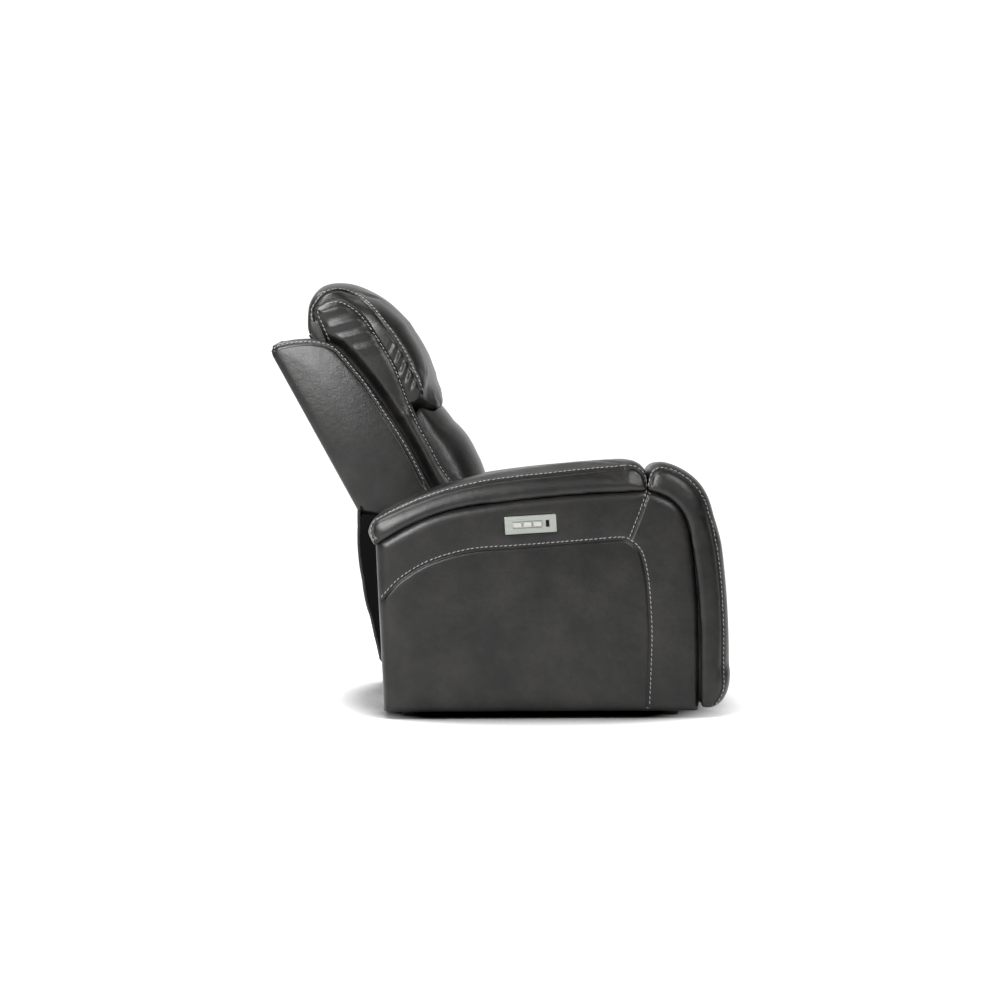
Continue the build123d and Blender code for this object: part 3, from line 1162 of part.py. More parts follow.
with BuildPart() as headrest_motor:
    motor_front = 2 * HEADREST_ROD_DEPTH - UPRIGHT_FRONT - BUTT_GAP
    with BuildSketch(BACK_PLANE.offset(-HEADREST_MOTOR_HALF)):
        with Locations((UPRIGHT_FRONT + BUTT_GAP, HEADREST_MOTOR[0])):
            motor_depth = motor_front - UPRIGHT_FRONT - BUTT_GAP
            Rectangle(motor_depth, HEADREST_MOTOR[1] - HEADREST_MOTOR[0], align=CORNER)
    extrude(amount=2 * HEADREST_MOTOR_HALF)
    bore_plane = Plane(
        origin=BACK_PLANE.from_local_coords(Vector(HEADREST_ROD_DEPTH, HEADREST_MOTOR[1], 0)),
        z_dir=BACK_PLANE.y_dir,
    )
    with BuildSketch(bore_plane):
        Circle(SLIM_ROD_RADIUS + ROD_GAP)
    extrude(amount=HEADREST_MOTOR[0] - HEADREST_MOTOR[1] + MOTOR_END_WALL, mode=Mode.SUBTRACT)
keep(headrest_motor.part, "headrest_motor")

with BuildPart() as headrest_rod:
    slot_up = 2 * LEVER_TUBE_RADIUS + YOKE_PLAY
    slot_across = slot_up + LEVER_BOW + SLOT_END_PLAY
    with BuildSketch(BACK_PLANE.offset(-YOKE / 2)):
        with Locations((HEADREST_ROD_DEPTH, HEADREST_LEVER_END[1])):
            RectangleRounded(slot_across + 2 * SLIM_RIM, slot_up + 2 * SLIM_RIM, SLIM_RIM / 2)
            Rectangle(slot_across, slot_up, mode=Mode.SUBTRACT)
    extrude(amount=YOKE)
    with BuildSketch(bore_plane.offset(-SLIM_ROD_HOLD)):
        Circle(SLIM_ROD_RADIUS)
    extrude(amount=SLIM_ROD_HOLD + HEADREST_LEVER_END[1] - slot_up / 2 - SLIM_RIM / 2 - HEADREST_MOTOR[1])
keep(headrest_rod.part, "headrest_rod")

# Flap that hangs from the back's heel on a round bead
FLAP_HINGE = from_back((-FLAP_BEAD - SOFT_GAP, FLAP_HINGE_UP))
FLAP_HALF = WING_HALF - SLIDE_GAP
with BuildPart() as back_flap:
    with BuildSketch(Plane.XZ.offset(-FLAP_HALF)):
        with BuildLine():
            bead_rear = moved(FLAP_HINGE, -FLAP / 2, 0)
            bead_front = moved(FLAP_HINGE, FLAP / 2, 0)
            ThreePointArc(bead_rear, FLAP_BULGE, FLAP_WAIST)
            Polyline(FLAP_WAIST, FLAP_HEM, moved(FLAP_HEM, FLAP, 0), moved(FLAP_WAIST, FLAP, 0))
            ThreePointArc(moved(FLAP_WAIST, FLAP, 0), moved(FLAP_BULGE, FLAP, 0), bead_front)
            Line(bead_front, bead_rear)
        make_face()
        with Locations(FLAP_HINGE):
            Circle(FLAP_BEAD)
    extrude(amount=2 * FLAP_HALF)
keep(back_flap.part, "back_flap")
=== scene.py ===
# %% [markdown]
# # A leather power recliner
# The chair is an upholstered box on a steel reclining mechanism. Its hard parts come from the CAD
# model, which sets every place and size here, in metres. This lesson dresses it: leather over foam,
# seams, thick thread, painted steel and a small metal control plate.

# %% Load the CAD model as the frame
import json
import math

import bpy
import numpy as np
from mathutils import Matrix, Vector
from mathutils.bvhtree import BVHTree
from mathutils.kdtree import KDTree


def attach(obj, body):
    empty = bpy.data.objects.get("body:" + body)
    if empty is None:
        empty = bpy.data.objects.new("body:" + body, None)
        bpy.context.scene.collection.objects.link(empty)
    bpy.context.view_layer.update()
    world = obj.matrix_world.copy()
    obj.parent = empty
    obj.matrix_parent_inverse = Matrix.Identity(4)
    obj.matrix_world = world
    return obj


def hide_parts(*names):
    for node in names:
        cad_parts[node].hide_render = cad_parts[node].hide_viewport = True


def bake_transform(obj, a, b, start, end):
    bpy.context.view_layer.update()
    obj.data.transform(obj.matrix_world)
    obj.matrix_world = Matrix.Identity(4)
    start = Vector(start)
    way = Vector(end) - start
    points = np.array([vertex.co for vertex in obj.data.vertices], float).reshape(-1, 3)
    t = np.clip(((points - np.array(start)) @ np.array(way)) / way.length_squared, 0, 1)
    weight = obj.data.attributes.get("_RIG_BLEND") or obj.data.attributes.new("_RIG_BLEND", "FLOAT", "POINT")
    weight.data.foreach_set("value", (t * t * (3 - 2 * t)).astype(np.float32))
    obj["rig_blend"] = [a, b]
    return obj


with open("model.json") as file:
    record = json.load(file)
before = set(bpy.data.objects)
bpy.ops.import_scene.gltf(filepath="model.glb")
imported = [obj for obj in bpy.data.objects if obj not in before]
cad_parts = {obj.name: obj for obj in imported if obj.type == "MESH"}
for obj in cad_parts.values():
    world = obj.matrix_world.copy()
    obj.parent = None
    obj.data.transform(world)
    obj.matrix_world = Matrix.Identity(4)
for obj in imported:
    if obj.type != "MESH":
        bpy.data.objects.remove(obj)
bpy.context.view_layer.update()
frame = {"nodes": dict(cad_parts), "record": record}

# %% [markdown]
# ## Camera
# The chair was photographed from its right side, with a long lens at about the height of the arms.
# A long lens far away keeps the far arm hidden behind the near one. The camera stands a little
# behind square, and looks down by about one degree, which puts the chair in the middle.

# %% Camera
CAMERA_DISTANCE = 5.5
CAMERA_HEIGHT = 0.570
CAMERA_SWING = math.radians(2.5)
CAMERA_AIM = Vector((0.030, 0.0, 0.509))
CAMERA_LENS = 77.0

camera_place = Vector((
    CAMERA_AIM.x - CAMERA_DISTANCE * math.sin(CAMERA_SWING),
    -CAMERA_DISTANCE * math.cos(CAMERA_SWING),
    CAMERA_HEIGHT,
))
bpy.ops.object.select_all(action="DESELECT")
bpy.ops.object.camera_add(location=camera_place)
camera = bpy.context.object
camera.rotation_euler = (CAMERA_AIM - camera_place).to_track_quat("-Z", "Y").to_euler()
camera.data.lens = CAMERA_LENS
bpy.context.scene.camera = camera
print("camera at", tuple(round(v, 3) for v in camera_place))

# %% [markdown]
# ## Floor, light and world
# A studio sweep is a floor that curves up into a wall, so that no corner shows. It is a grid whose
# far rows are lifted along a quarter circle. Four soft lamps light the chair: a strong one left of
# the camera, a weaker one right of it, a wide one above and one high on the left, which draws the
# bright patches on the wing and the arm. The world fills the shadows.

# %% Studio sweep
SWEEP_SIZE = 120.0
SWEEP_COLUMNS = 2
SWEEP_ROWS = 241
SWEEP_TURN = 6.0
SWEEP_RADIUS = 4.0

bpy.ops.object.select_all(action="DESELECT")
bpy.ops.mesh.primitive_grid_add(x_subdivisions=SWEEP_COLUMNS, y_subdivisions=SWEEP_ROWS, size=SWEEP_SIZE)
sweep = bpy.context.object
sweep.name = "studio_sweep"
for vertex in sweep.data.vertices:
    past = vertex.co.y - SWEEP_TURN
    if past > 0:
        turn = min(past / SWEEP_RADIUS, math.pi / 2)
        climb = past - turn * SWEEP_RADIUS
        vertex.co.y = SWEEP_TURN + SWEEP_RADIUS * math.sin(turn)
        vertex.co.z = SWEEP_RADIUS * (1 - math.cos(turn)) + climb
print("sweep rows:", SWEEP_ROWS)

# %% Lamps and world
CHAIR_MIDDLE = Vector((0.0, 0.0, 0.5))
LAMPS = {
    "lamp_left": ((-1.6, -4.2, 2.25), 0.9, 205),
    "lamp_right": ((2.0, -3.6, 2.6), 0.9, 72),
    "lamp_above": ((-0.3, -0.2, 3.3), 1.6, 24),
    "lamp_high_left": ((-1.7, -0.9, 3.1), 1.1, 120),
}
AIR_COLOUR = (1.0, 1.0, 1.0, 1.0)
AIR_STRENGTH = 0.13

for name, (spot, size, power) in LAMPS.items():
    bpy.ops.object.select_all(action="DESELECT")
    bpy.ops.object.light_add(type="AREA", location=spot)
    lamp = bpy.context.object
    lamp.name = name
    lamp.data.size = size
    lamp.data.energy = power
    lamp.rotation_euler = (CHAIR_MIDDLE - Vector(spot)).to_track_quat("-Z", "Y").to_euler()

world = bpy.data.worlds.new("studio_air")
world.use_nodes = True
bpy.context.scene.world = world
air = world.node_tree.nodes["Background"]
air.inputs["Color"].default_value = AIR_COLOUR
air.inputs["Strength"].default_value = AIR_STRENGTH
bpy.context.scene.view_settings.view_transform = "Standard"
print("lamps:", len(LAMPS))

# %% [markdown]
# ## Finishes
# Every finish is a set of nodes on Object coordinates, so it needs no picture and no unwrapping.
# The leather is a dark charcoal with a hand-rubbed, cloudy colour, a fine pebble grain and a satin
# top coat. A mesh attribute called seam marks where shade is painted into the colour: in the folds
# at the seams, and in the valley behind each wing.

# %% A start for each finish
def put(value, socket):
    """Sets an input to a value, or joins it to another node's output."""
    if isinstance(value, bpy.types.NodeSocket):
        socket.id_data.links.new(value, socket)
    else:
        socket.default_value = value


def feed(node, **values):
    """Sets a node's inputs and settings by name, with _ for each space in a name."""
    for key, value in values.items():
        name = key.replace("_", " ")
        if name in node.inputs:
            put(value, node.inputs[name])
        else:
            setattr(node, key, value)


def new_finish(name):
    """A node material, with its shader and a way to add nodes."""
    material = bpy.data.materials.new(name)
    material.use_nodes = True
    tree = material.node_tree

    def add(kind, **values):
        node = tree.nodes.new("ShaderNode" + kind)
        feed(node, **values)
        return node

    return material, tree.nodes["Principled BSDF"], add


def ramp(add, factor, span, dark, light):
    """A colour that goes from dark to light as a factor crosses a span."""
    node = add("ValToRGB", Fac=factor)
    for stop, position, colour in zip(node.color_ramp.elements, span, (dark, light)):
        stop.position = position
        stop.color = (*colour, 1.0)
    return node.outputs["Color"]


# %% Leather
LEATHER_DARK = (0.0043, 0.0041, 0.0039)
LEATHER_LIGHT = (0.0150, 0.0140, 0.0133)
FLECK_DARK = (0.80, 0.80, 0.80)
FLECK_LIGHT = (1.0, 1.0, 1.0)
PAINTED_SHADE_TINT = (0.35, 0.34, 0.33, 1.0)

leather, shader, add = new_finish("charcoal_leather")
place = add("TexCoord").outputs["Object"]
cloud = add("TexNoise", Vector=place, Scale=11.0, Detail=5.0, Roughness=0.62).outputs["Fac"]
tone = ramp(add, cloud, span=(0.36, 0.66), dark=LEATHER_DARK, light=LEATHER_LIGHT)
fleck = add("TexNoise", Vector=place, Scale=95.0, Detail=4.0, Roughness=0.6).outputs["Fac"]
fleck_tone = ramp(add, fleck, span=(0.25, 0.75), dark=FLECK_DARK, light=FLECK_LIGHT)
rubbed = add("MixRGB", blend_type="MULTIPLY", Fac=1.0, Color1=tone, Color2=fleck_tone).outputs["Color"]
# Painted shade: the seam attribute darkens the colour in the folds at the seams and in the valley behind
# each wing.
seam = add("Attribute", attribute_name="seam").outputs["Fac"]
shade = add("MixRGB", blend_type="MULTIPLY", Fac=seam, Color1=rubbed, Color2=PAINTED_SHADE_TINT).outputs["Color"]
sheen = add("MapRange", Value=cloud, To_Min=0.39, To_Max=0.28).outputs["Result"]
pebble = add("TexVoronoi", feature="DISTANCE_TO_EDGE", Vector=place, Scale=430.0, Randomness=1.0)
grain = add("Bump", Height=pebble.outputs["Distance"], Strength=0.22, Distance=0.0007)
crackle = add("TexNoise", Vector=place, Scale=70.0, Detail=6.0, Roughness=0.65).outputs["Fac"]
hide = add("Bump", Height=crackle, Normal=grain.outputs["Normal"], Strength=0.16, Distance=0.004)
feed(shader, Base_Color=shade, Roughness=sheen, Normal=hide.outputs["Normal"])
feed(shader, Specular_IOR_Level=0.27, Coat_Weight=0.05, Coat_Roughness=0.30)
print("leather nodes:", len(leather.node_tree.nodes))

# %% [markdown]
# ## Smaller finishes
# They follow the same plan: one noise for the colour, the roughness and the bump. Brushed metal
# stretches its noise along the brushing, plywood stretches it along the grain, webbing multiplies
# two waves into a weave, and powder coat has a fine orange peel.

# %% Thread
THREAD_DARK = (0.17, 0.163, 0.158)
THREAD_LIGHT = (0.36, 0.348, 0.338)

thread, shader, add = new_finish("grey_thread")
place = add("TexCoord").outputs["Object"]
ply = add("TexNoise", Vector=place, Scale=900.0, Detail=2.0).outputs["Fac"]
tone = ramp(add, ply, span=(0.3, 0.7), dark=THREAD_DARK, light=THREAD_LIGHT)
twist = add("Bump", Height=ply, Strength=0.4, Distance=0.0004)
feed(shader, Base_Color=tone, Normal=twist.outputs["Normal"], Roughness=0.62)
print("thread nodes:", len(thread.node_tree.nodes))

# %% Stretched and plain noise finishes
EVEN = (1.0, 1.0, 1.0)


def noise_finish(name, dark, light, scale, rough, bump, depth, stretch=EVEN, metal=0.0, specular=0.5):
    """A finish from one noise, stretched along the axes, for colour, roughness and bump."""
    material, shader, add = new_finish(name)
    place = add("TexCoord").outputs["Object"]
    lay = add("Mapping", Vector=place, Scale=stretch).outputs["Vector"]
    noise = add("TexNoise", Vector=lay, Scale=scale, Detail=5.0, Roughness=0.6).outputs["Fac"]
    tone = ramp(add, noise, span=(0.28, 0.72), dark=dark, light=light)
    gloss = add("MapRange", Value=noise, To_Min=rough[0], To_Max=rough[1]).outputs["Result"]
    relief = add("Bump", Height=noise, Strength=bump, Distance=depth)
    feed(shader, Base_Color=tone, Roughness=gloss, Normal=relief.outputs["Normal"])
    feed(shader, Metallic=metal, Specular_IOR_Level=specular)
    print(name, "roughness", rough)
    return material


powder_coat = noise_finish(
    "black_powder_coat", dark=(0.016, 0.016, 0.018), light=(0.030, 0.030, 0.033),
    scale=900.0, rough=(0.38, 0.56), bump=0.25, depth=0.0004)
zinc = noise_finish(
    "zinc_plated_steel", dark=(0.42, 0.42, 0.44), light=(0.66, 0.66, 0.67),
    scale=160.0, rough=(0.24, 0.42), bump=0.1, depth=0.0002, metal=1.0)
nickel = noise_finish(
    "brushed_nickel", dark=(0.235, 0.250, 0.228), light=(0.320, 0.338, 0.310),
    scale=4.0, rough=(0.30, 0.48), bump=0.12, depth=0.0002, stretch=(6.0, 300.0, 300.0), metal=0.75)
black_plastic = noise_finish(
    "black_plastic", dark=(0.014, 0.014, 0.015), light=(0.024, 0.024, 0.026),
    scale=700.0, rough=(0.42, 0.6), bump=0.2, depth=0.0003)
ivory_plastic = noise_finish(
    "ivory_plastic", dark=(0.30, 0.307, 0.28), light=(0.35, 0.357, 0.33),
    scale=500.0, rough=(0.34, 0.46), bump=0.1, depth=0.0002)
plywood = noise_finish(
    "stained_plywood", dark=(0.010, 0.008, 0.007), light=(0.030, 0.024, 0.019),
    scale=4.0, rough=(0.5, 0.7), bump=0.25, depth=0.0008, stretch=(2.0, 22.0, 22.0))
# Near-black and hardly reflecting, this cloth stands in for painted shade in the gaps that it closes.
dust_cloth_as_shade = noise_finish(
    "black_dust_cloth_as_shade", dark=(0.0022, 0.0022, 0.0024), light=(0.0045, 0.0045, 0.0048),
    scale=1200.0, rough=(0.85, 0.95), bump=0.4, depth=0.0004, specular=0.05)

# %% Woven webbing
WEB_DARK = (0.035, 0.035, 0.037)
WEB_LIGHT = (0.11, 0.11, 0.115)

webbing, shader, add = new_finish("woven_webbing")
place = add("TexCoord").outputs["Object"]
warp = add("TexWave", bands_direction="X", Vector=place, Scale=140.0, Distortion=0.6).outputs["Color"]
weft = add("TexWave", bands_direction="Y", Vector=place, Scale=140.0, Distortion=0.6).outputs["Color"]
weave = add("MixRGB", blend_type="MULTIPLY", Fac=1.0, Color1=warp, Color2=weft).outputs["Color"]
tone = ramp(add, weave, span=(0.1, 0.9), dark=WEB_DARK, light=WEB_LIGHT)
relief = add("Bump", Height=weave, Strength=0.6, Distance=0.0008)
feed(shader, Base_Color=tone, Normal=relief.outputs["Normal"], Roughness=0.85)
print("webbing nodes:", len(webbing.node_tree.nodes))

# %% [markdown]
# ## Studio paper
# The floor is white paper, with a shadow painted into its colour close under the chair, where Ambient
# Occlusion finds the chair near.
# Away from the chair the paper glows for a ray that looks at it, straight, in a mirror or through
# glass, so the background is white and no stronger lamp is needed. Because the glow begins close
# round the chair, it also paints light over the chair's cast shadow to its sides.

# %% White studio paper
GLOW_MIDDLE = (-0.1, 0.0, 0.0)
GLOW_SHAPE = (1.28, 0.85, 1.0)
GLOW_START, GLOW_END = 0.50, 0.74
GLOW_MOST = 0.9
GLOW_COLOUR = (1.0, 1.0, 1.0, 1.0)
CONTACT_REACH = 0.34
CONTACT_SPAN = (0.41, 0.94)
PAINTED_SHADOW_DARK = (0.02, 0.02, 0.02)
PAPER_WHITE = (0.80, 0.80, 0.80)

paper, shader, add = new_finish("studio_paper")


def worked(kind, operation, *values):
    """A maths node on one or two inputs."""
    node = add(kind, operation=operation)
    for value, socket in zip(values, node.inputs):
        put(value, socket)
    return node


# Painted shadow: Ambient Occlusion darkens the paper's colour near the chair.
near_chair = add("AmbientOcclusion", samples=12, Distance=CONTACT_REACH).outputs["AO"]
painted_contact_shadow = ramp(add, near_chair, CONTACT_SPAN, PAINTED_SHADOW_DARK, PAPER_WHITE)
ray = add("LightPath").outputs
mirrored_view = worked("Math", "MAXIMUM", ray["Is Glossy Ray"], ray["Is Transmission Ray"])
looked_at = worked("Math", "MAXIMUM", ray["Is Camera Ray"], mirrored_view.outputs["Value"])
place = add("TexCoord").outputs["Object"]
# Painted light: the glow starts on an oval just round the chair, so besides the white background it washes
# out the chair's cast shadow beside it, leaving the shadow close under it.
from_chair = worked("VectorMath", "ADD", place, GLOW_MIDDLE)
oval = worked("VectorMath", "MULTIPLY", from_chair.outputs["Vector"], GLOW_SHAPE)
away = worked("VectorMath", "LENGTH", oval.outputs["Vector"])
far_off = add("MapRange", interpolation_type="SMOOTHSTEP", Value=away.outputs["Value"])
feed(far_off, From_Min=GLOW_START, From_Max=GLOW_END, To_Max=GLOW_MOST)
glow = worked("Math", "MULTIPLY", looked_at.outputs["Value"], far_off.outputs["Result"])
feed(shader, Base_Color=painted_contact_shadow, Roughness=0.9, Specular_IOR_Level=0.0)
feed(shader, Emission_Color=GLOW_COLOUR, Emission_Strength=glow.outputs["Value"])
sweep.data.materials.append(paper)
print("paper nodes:", len(paper.node_tree.nodes))

# %% The CAD pieces take their finishes by the record's slots
SLOT_FINISH = {
    "leather": leather,
    "wood": plywood,
    "webbing": webbing,
    "mechanism_steel": powder_coat,
    "bright_steel": zinc,
    "black_plastic": black_plastic,
    "button_plastic": ivory_plastic,
    "control_metal": nickel,
}
for subpart in frame["record"]["subparts"]:
    node = frame["nodes"][subpart["node"]]
    node.data.materials.clear()
    node.data.materials.append(SLOT_FINISH[subpart["material_slot"]])

# %% [markdown]
# ## Tools for upholstery
# Leather over foam has round edges, a slight swell between the seams and a fold at each seam. The
# helpers below do what an upholsterer does. A shape is cut out of its side view or taken from the
# CAD foam, given an even skin by a voxel remesh, swelled by cloth pressure or by the distance from
# its seams, and then sewn: the skin near a seam is divided finer and drawn in.

# %% Selecting, copying and reading a mesh
MERGE = 0.00002


def pick(piece):
    """Makes one object the only selected one, and the active one."""
    bpy.ops.object.select_all(action="DESELECT")
    piece.select_set(True)
    bpy.context.view_layer.objects.active = piece


def select_only(piece, kind, parts, wanted):
    """Goes into edit mode with only the wanted edges or faces selected."""
    pick(piece)
    bpy.ops.object.mode_set(mode="EDIT")
    bpy.ops.mesh.select_mode(type=kind)
    bpy.ops.mesh.select_all(action="DESELECT")
    bpy.ops.object.mode_set(mode="OBJECT")
    parts.foreach_set("select", wanted)
    bpy.ops.object.mode_set(mode="EDIT")


def points_of(piece):
    """A mesh's points as an array of rows."""
    points = np.empty(len(piece.data.vertices) * 3)
    piece.data.vertices.foreach_get("co", points)
    return points.reshape(-1, 3)


def normals_of(piece):
    """The directions that a mesh's points face."""
    normals = np.empty(len(piece.data.vertices) * 3)
    piece.data.vertex_normals.foreach_get("vector", normals)
    return normals.reshape(-1, 3)


def set_points(piece, points):
    """Moves a mesh's points."""
    piece.data.vertices.foreach_set("co", points.ravel())
    piece.data.update()


def foam_copy(node, name):
    """A new object with a merged copy of a CAD node's mesh."""
    piece = bpy.data.objects.new(name, frame["nodes"][node].data.copy())
    bpy.context.scene.collection.objects.link(piece)
    piece.data.materials.clear()
    pick(piece)
    bpy.ops.object.mode_set(mode="EDIT")
    bpy.ops.mesh.select_all(action="SELECT")
    bpy.ops.mesh.remove_doubles(threshold=MERGE)
    bpy.ops.object.mode_set(mode="OBJECT")
    return piece


# %% Cutting a slab from its side view, and rounding its rim
SAME_PLACE = 0.00001
HEEL_TOP = 0.02
RIM_STEPS = 5


def cut_slab(name, outline, inner_y, outer_y):
    """A slab between two planes, from the (x, z) points of its side view."""
    bpy.ops.object.select_all(action="DESELECT")
    bpy.ops.mesh.primitive_circle_add(vertices=len(outline), fill_type="NGON")
    piece = bpy.context.object
    piece.name = name
    for vertex, (x, z) in zip(piece.data.vertices, outline):
        vertex.co = (x, inner_y, z)
    bpy.ops.object.mode_set(mode="EDIT")
    bpy.ops.mesh.select_all(action="SELECT")
    bpy.ops.mesh.extrude_region_move(TRANSFORM_OT_translate={"value": (0, outer_y - inner_y, 0)})
    bpy.ops.mesh.select_all(action="SELECT")
    bpy.ops.mesh.normals_make_consistent(inside=False)
    bpy.ops.object.mode_set(mode="OBJECT")
    return piece


def round_rim(piece, outer_y, radius):
    """Bevels the edges round a slab's outer face, apart from one along the floor."""
    points = points_of(piece)
    edges = piece.data.edges
    ends = np.empty(len(edges) * 2, np.int32)
    edges.foreach_get("vertices", ends)
    ends = ends.reshape(-1, 2)
    on_rim = (np.abs(points[:, 1] - outer_y) < SAME_PLACE)[ends].all(1)
    select_only(piece, "EDGE", edges, on_rim & (points[ends, 2].max(1) > HEEL_TOP))
    bpy.ops.mesh.bevel(offset=radius, segments=RIM_STEPS, affect="EDGES")
    bpy.ops.object.mode_set(mode="OBJECT")


# %% An even skin
SMOOTH_SHARE = 0.5


def relaxed(piece, rounds):
    """Evens out a skin with a smooth."""
    pick(piece)
    smooth = piece.modifiers.new("relax", "SMOOTH")
    smooth.factor = SMOOTH_SHARE
    smooth.iterations = rounds
    bpy.ops.object.modifier_apply(modifier=smooth.name)


def even_skin(piece, voxel, rounds):
    """A voxel remesh, then a smooth that takes off the steps."""
    pick(piece)
    piece.data.remesh_voxel_size = voxel
    bpy.ops.object.voxel_remesh()
    relaxed(piece, rounds)
    bpy.ops.object.shade_smooth()


def finer_skin(piece):
    """One level of subdivision, applied."""
    pick(piece)
    level = piece.modifiers.new("finer", "SUBSURF")
    level.levels = 1
    level.render_levels = 1
    bpy.ops.object.modifier_apply(modifier=level.name)


def steps(low, high, values):
    """A smooth step from 0 to 1 between two values."""
    s = np.clip((values - low) / (high - low), 0, 1)
    return s * s * (3 - 2 * s)


# %% Smooth lines for seams
PATH_STEP = 0.002
LOOK_ROUND = 3


def smooth_line(points, spacing=PATH_STEP):
    """Evenly set points on a smooth curve through the given ones, about 2 mm apart."""
    points = [Vector(p) for p in points]
    line = []
    for i in range(len(points) - 1):
        start, end = points[i], points[i + 1]
        lead = (end - points[max(i - 1, 0)]) * 0.5
        trail = (points[min(i + 2, len(points) - 1)] - start) * 0.5
        count = max(int((end - start).length / spacing), 1)
        for k in range(count):
            s = k / count
            line.append(
                start * (2 * s**3 - 3 * s**2 + 1) + lead * (s**3 - 2 * s**2 + s)
                + end * (3 * s**2 - 2 * s**3) + trail * (s**3 - s**2)
            )
    line.append(points[-1])
    return line


def skin_tree(piece):
    """A tree for finding the nearest place on a mesh."""
    bpy.context.view_layer.update()
    return BVHTree.FromObject(piece, bpy.context.evaluated_depsgraph_get())


def laid_on(piece, points):
    """A smooth line laid on the nearest skin, as (place, normal) pairs."""
    tree = skin_tree(piece)
    return [tree.find_nearest(p)[:2] for p in smooth_line(points)]


def laid_from_side(piece, points, side):
    """A smooth line of (x, z) points dropped on a piece's outer side along Y."""
    tree = skin_tree(piece)
    inward = Vector((0, -side, 0)).normalized()
    hits = [tree.ray_cast(p, inward)[:2] for p in smooth_line([(x, side, z) for x, z in points])]
    return [hit for hit in hits if hit[0] is not None]


def beside(piece, line, offset):
    """A line that runs beside another on the skin, to its left seen from outside."""
    tree = skin_tree(piece)
    moved = []
    for i, (point, normal) in enumerate(line):
        ahead = line[min(i + LOOK_ROUND, len(line) - 1)][0] - line[max(i - LOOK_ROUND, 0)][0]
        across = normal.cross(ahead).normalized()
        moved.append(tree.find_nearest(point + across * offset)[:2])
    return moved


def rim_of(outline, y):
    """A side view's outline as a line at one distance from the middle of the chair."""
    return [(Vector((x, y, z)), None) for x, z in outline]


def distance_to(lines, points):
    """How far each point is from the nearest of some lines."""
    places = [p for line in lines for p, _ in line]
    tree = KDTree(len(places))
    for i, p in enumerate(places):
        tree.insert(p, i)
    tree.balance()
    return np.array([tree.find(p)[2] for p in points])


# %% Sewing
SEAM_REACH = 0.013
SHADE_SPREAD = 1.6


def finer_near(piece, lines, cuts):
    """Divides the faces near some seams."""
    faces = piece.data.polygons
    middles = np.empty(len(faces) * 3)
    faces.foreach_get("center", middles)
    near = distance_to(lines, middles.reshape(-1, 3)) < SEAM_REACH
    select_only(piece, "FACE", faces, near)
    bpy.ops.mesh.subdivide(number_cuts=cuts)
    bpy.ops.object.mode_set(mode="OBJECT")
    bpy.ops.object.shade_smooth()


def painted_shade_mark(piece):
    """The attribute by which the finish paints shade into the leather, as in the folds at the seams."""
    attributes = piece.data.attributes
    return attributes.get("seam") or attributes.new("seam", "FLOAT", "POINT")


def sew(piece, lines, depth, width, cuts=1):
    """Draws the skin in along seams, and marks the fold for shade painted in the finish."""
    finer_near(piece, lines, cuts)
    points = points_of(piece)
    away = distance_to(lines, points)
    fold = np.exp(-((away / width) ** 2))
    set_points(piece, points - normals_of(piece) * (depth * fold)[:, None])
    mark = painted_shade_mark(piece)
    old = np.zeros(len(points), np.float32)
    mark.data.foreach_get("value", old)
    # Painted shade: the mark spreads a little wider than the fold, to darken the leather there.
    soft = np.exp(-((away / (SHADE_SPREAD * width)) ** 2))
    mark.data.foreach_set("value", np.maximum(old, soft).astype(np.float32))


# %% [markdown]
# ## Stitches
# The chair is top-stitched with thick pale thread, about eleven millimetres to a stitch. One stitch
# is a small sphere stretched to a grain of rice, with few faces because there are hundreds. It is
# copied along a line beside each fold, turned a little so that the row looks hand-fed.

# %% One stitch
STITCH_PITCH = 0.0112
STITCH_LENGTH = 0.0086
STITCH_WIDTH = 0.0019
STITCH_SLANT = math.radians(9)
STITCH_RISE = 0.2
STITCH_SIDES, STITCH_RINGS = 6, 5

bpy.ops.object.select_all(action="DESELECT")
bpy.ops.mesh.primitive_uv_sphere_add(
    segments=STITCH_SIDES, ring_count=STITCH_RINGS, radius=0.5, rotation=(0, math.pi / 2, 0))
bpy.ops.object.transform_apply(rotation=True)
stitch = bpy.context.object
stitch.scale = (STITCH_LENGTH, STITCH_WIDTH, STITCH_WIDTH)
bpy.ops.object.transform_apply(scale=True)
stitch_points = points_of(stitch)
stitch_faces = [tuple(face.vertices) for face in stitch.data.polygons]
bpy.data.objects.remove(stitch)
print("faces in a stitch:", len(stitch_faces))


# %% Rows of stitches
def stitch_row(line):
    """The points of all the stitches along a line on a skin."""
    rows = []
    walked, due = 0.0, STITCH_PITCH / 2
    for (start, normal), (end, _) in zip(line, line[1:]):
        step = (end - start).length
        if walked + step >= due and step > 0:
            along = (end - start).normalized()
            across = normal.cross(along).normalized()
            turned = along * math.cos(STITCH_SLANT) + across * math.sin(STITCH_SLANT)
            side = normal.cross(turned).normalized()
            axes = np.array([turned, side, normal])
            raised = np.array(start) + np.array(normal) * STITCH_WIDTH * STITCH_RISE
            rows.append(stitch_points @ axes + raised)
            due += STITCH_PITCH
        walked += step
    return rows


def stitch_mesh(name, *lines):
    """One object with the stitches of several lines."""
    rows = [row for line in lines for row in stitch_row(line)]
    count = len(stitch_points)
    faces = [tuple(i + k * count for i in face) for k in range(len(rows)) for face in stitch_faces]
    mesh = bpy.data.meshes.new(name)
    mesh.from_pydata(np.concatenate(rows).tolist(), [], faces)
    mesh.shade_smooth()
    mesh.materials.append(thread)
    piece = bpy.data.objects.new(name, mesh)
    bpy.context.scene.collection.objects.link(piece)
    print(name, "stitches:", len(rows))
    return piece


def stitching(name, body, *lines):
    """Stitches along several lines, which ride on a body."""
    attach(stitch_mesh(name, *lines), body)


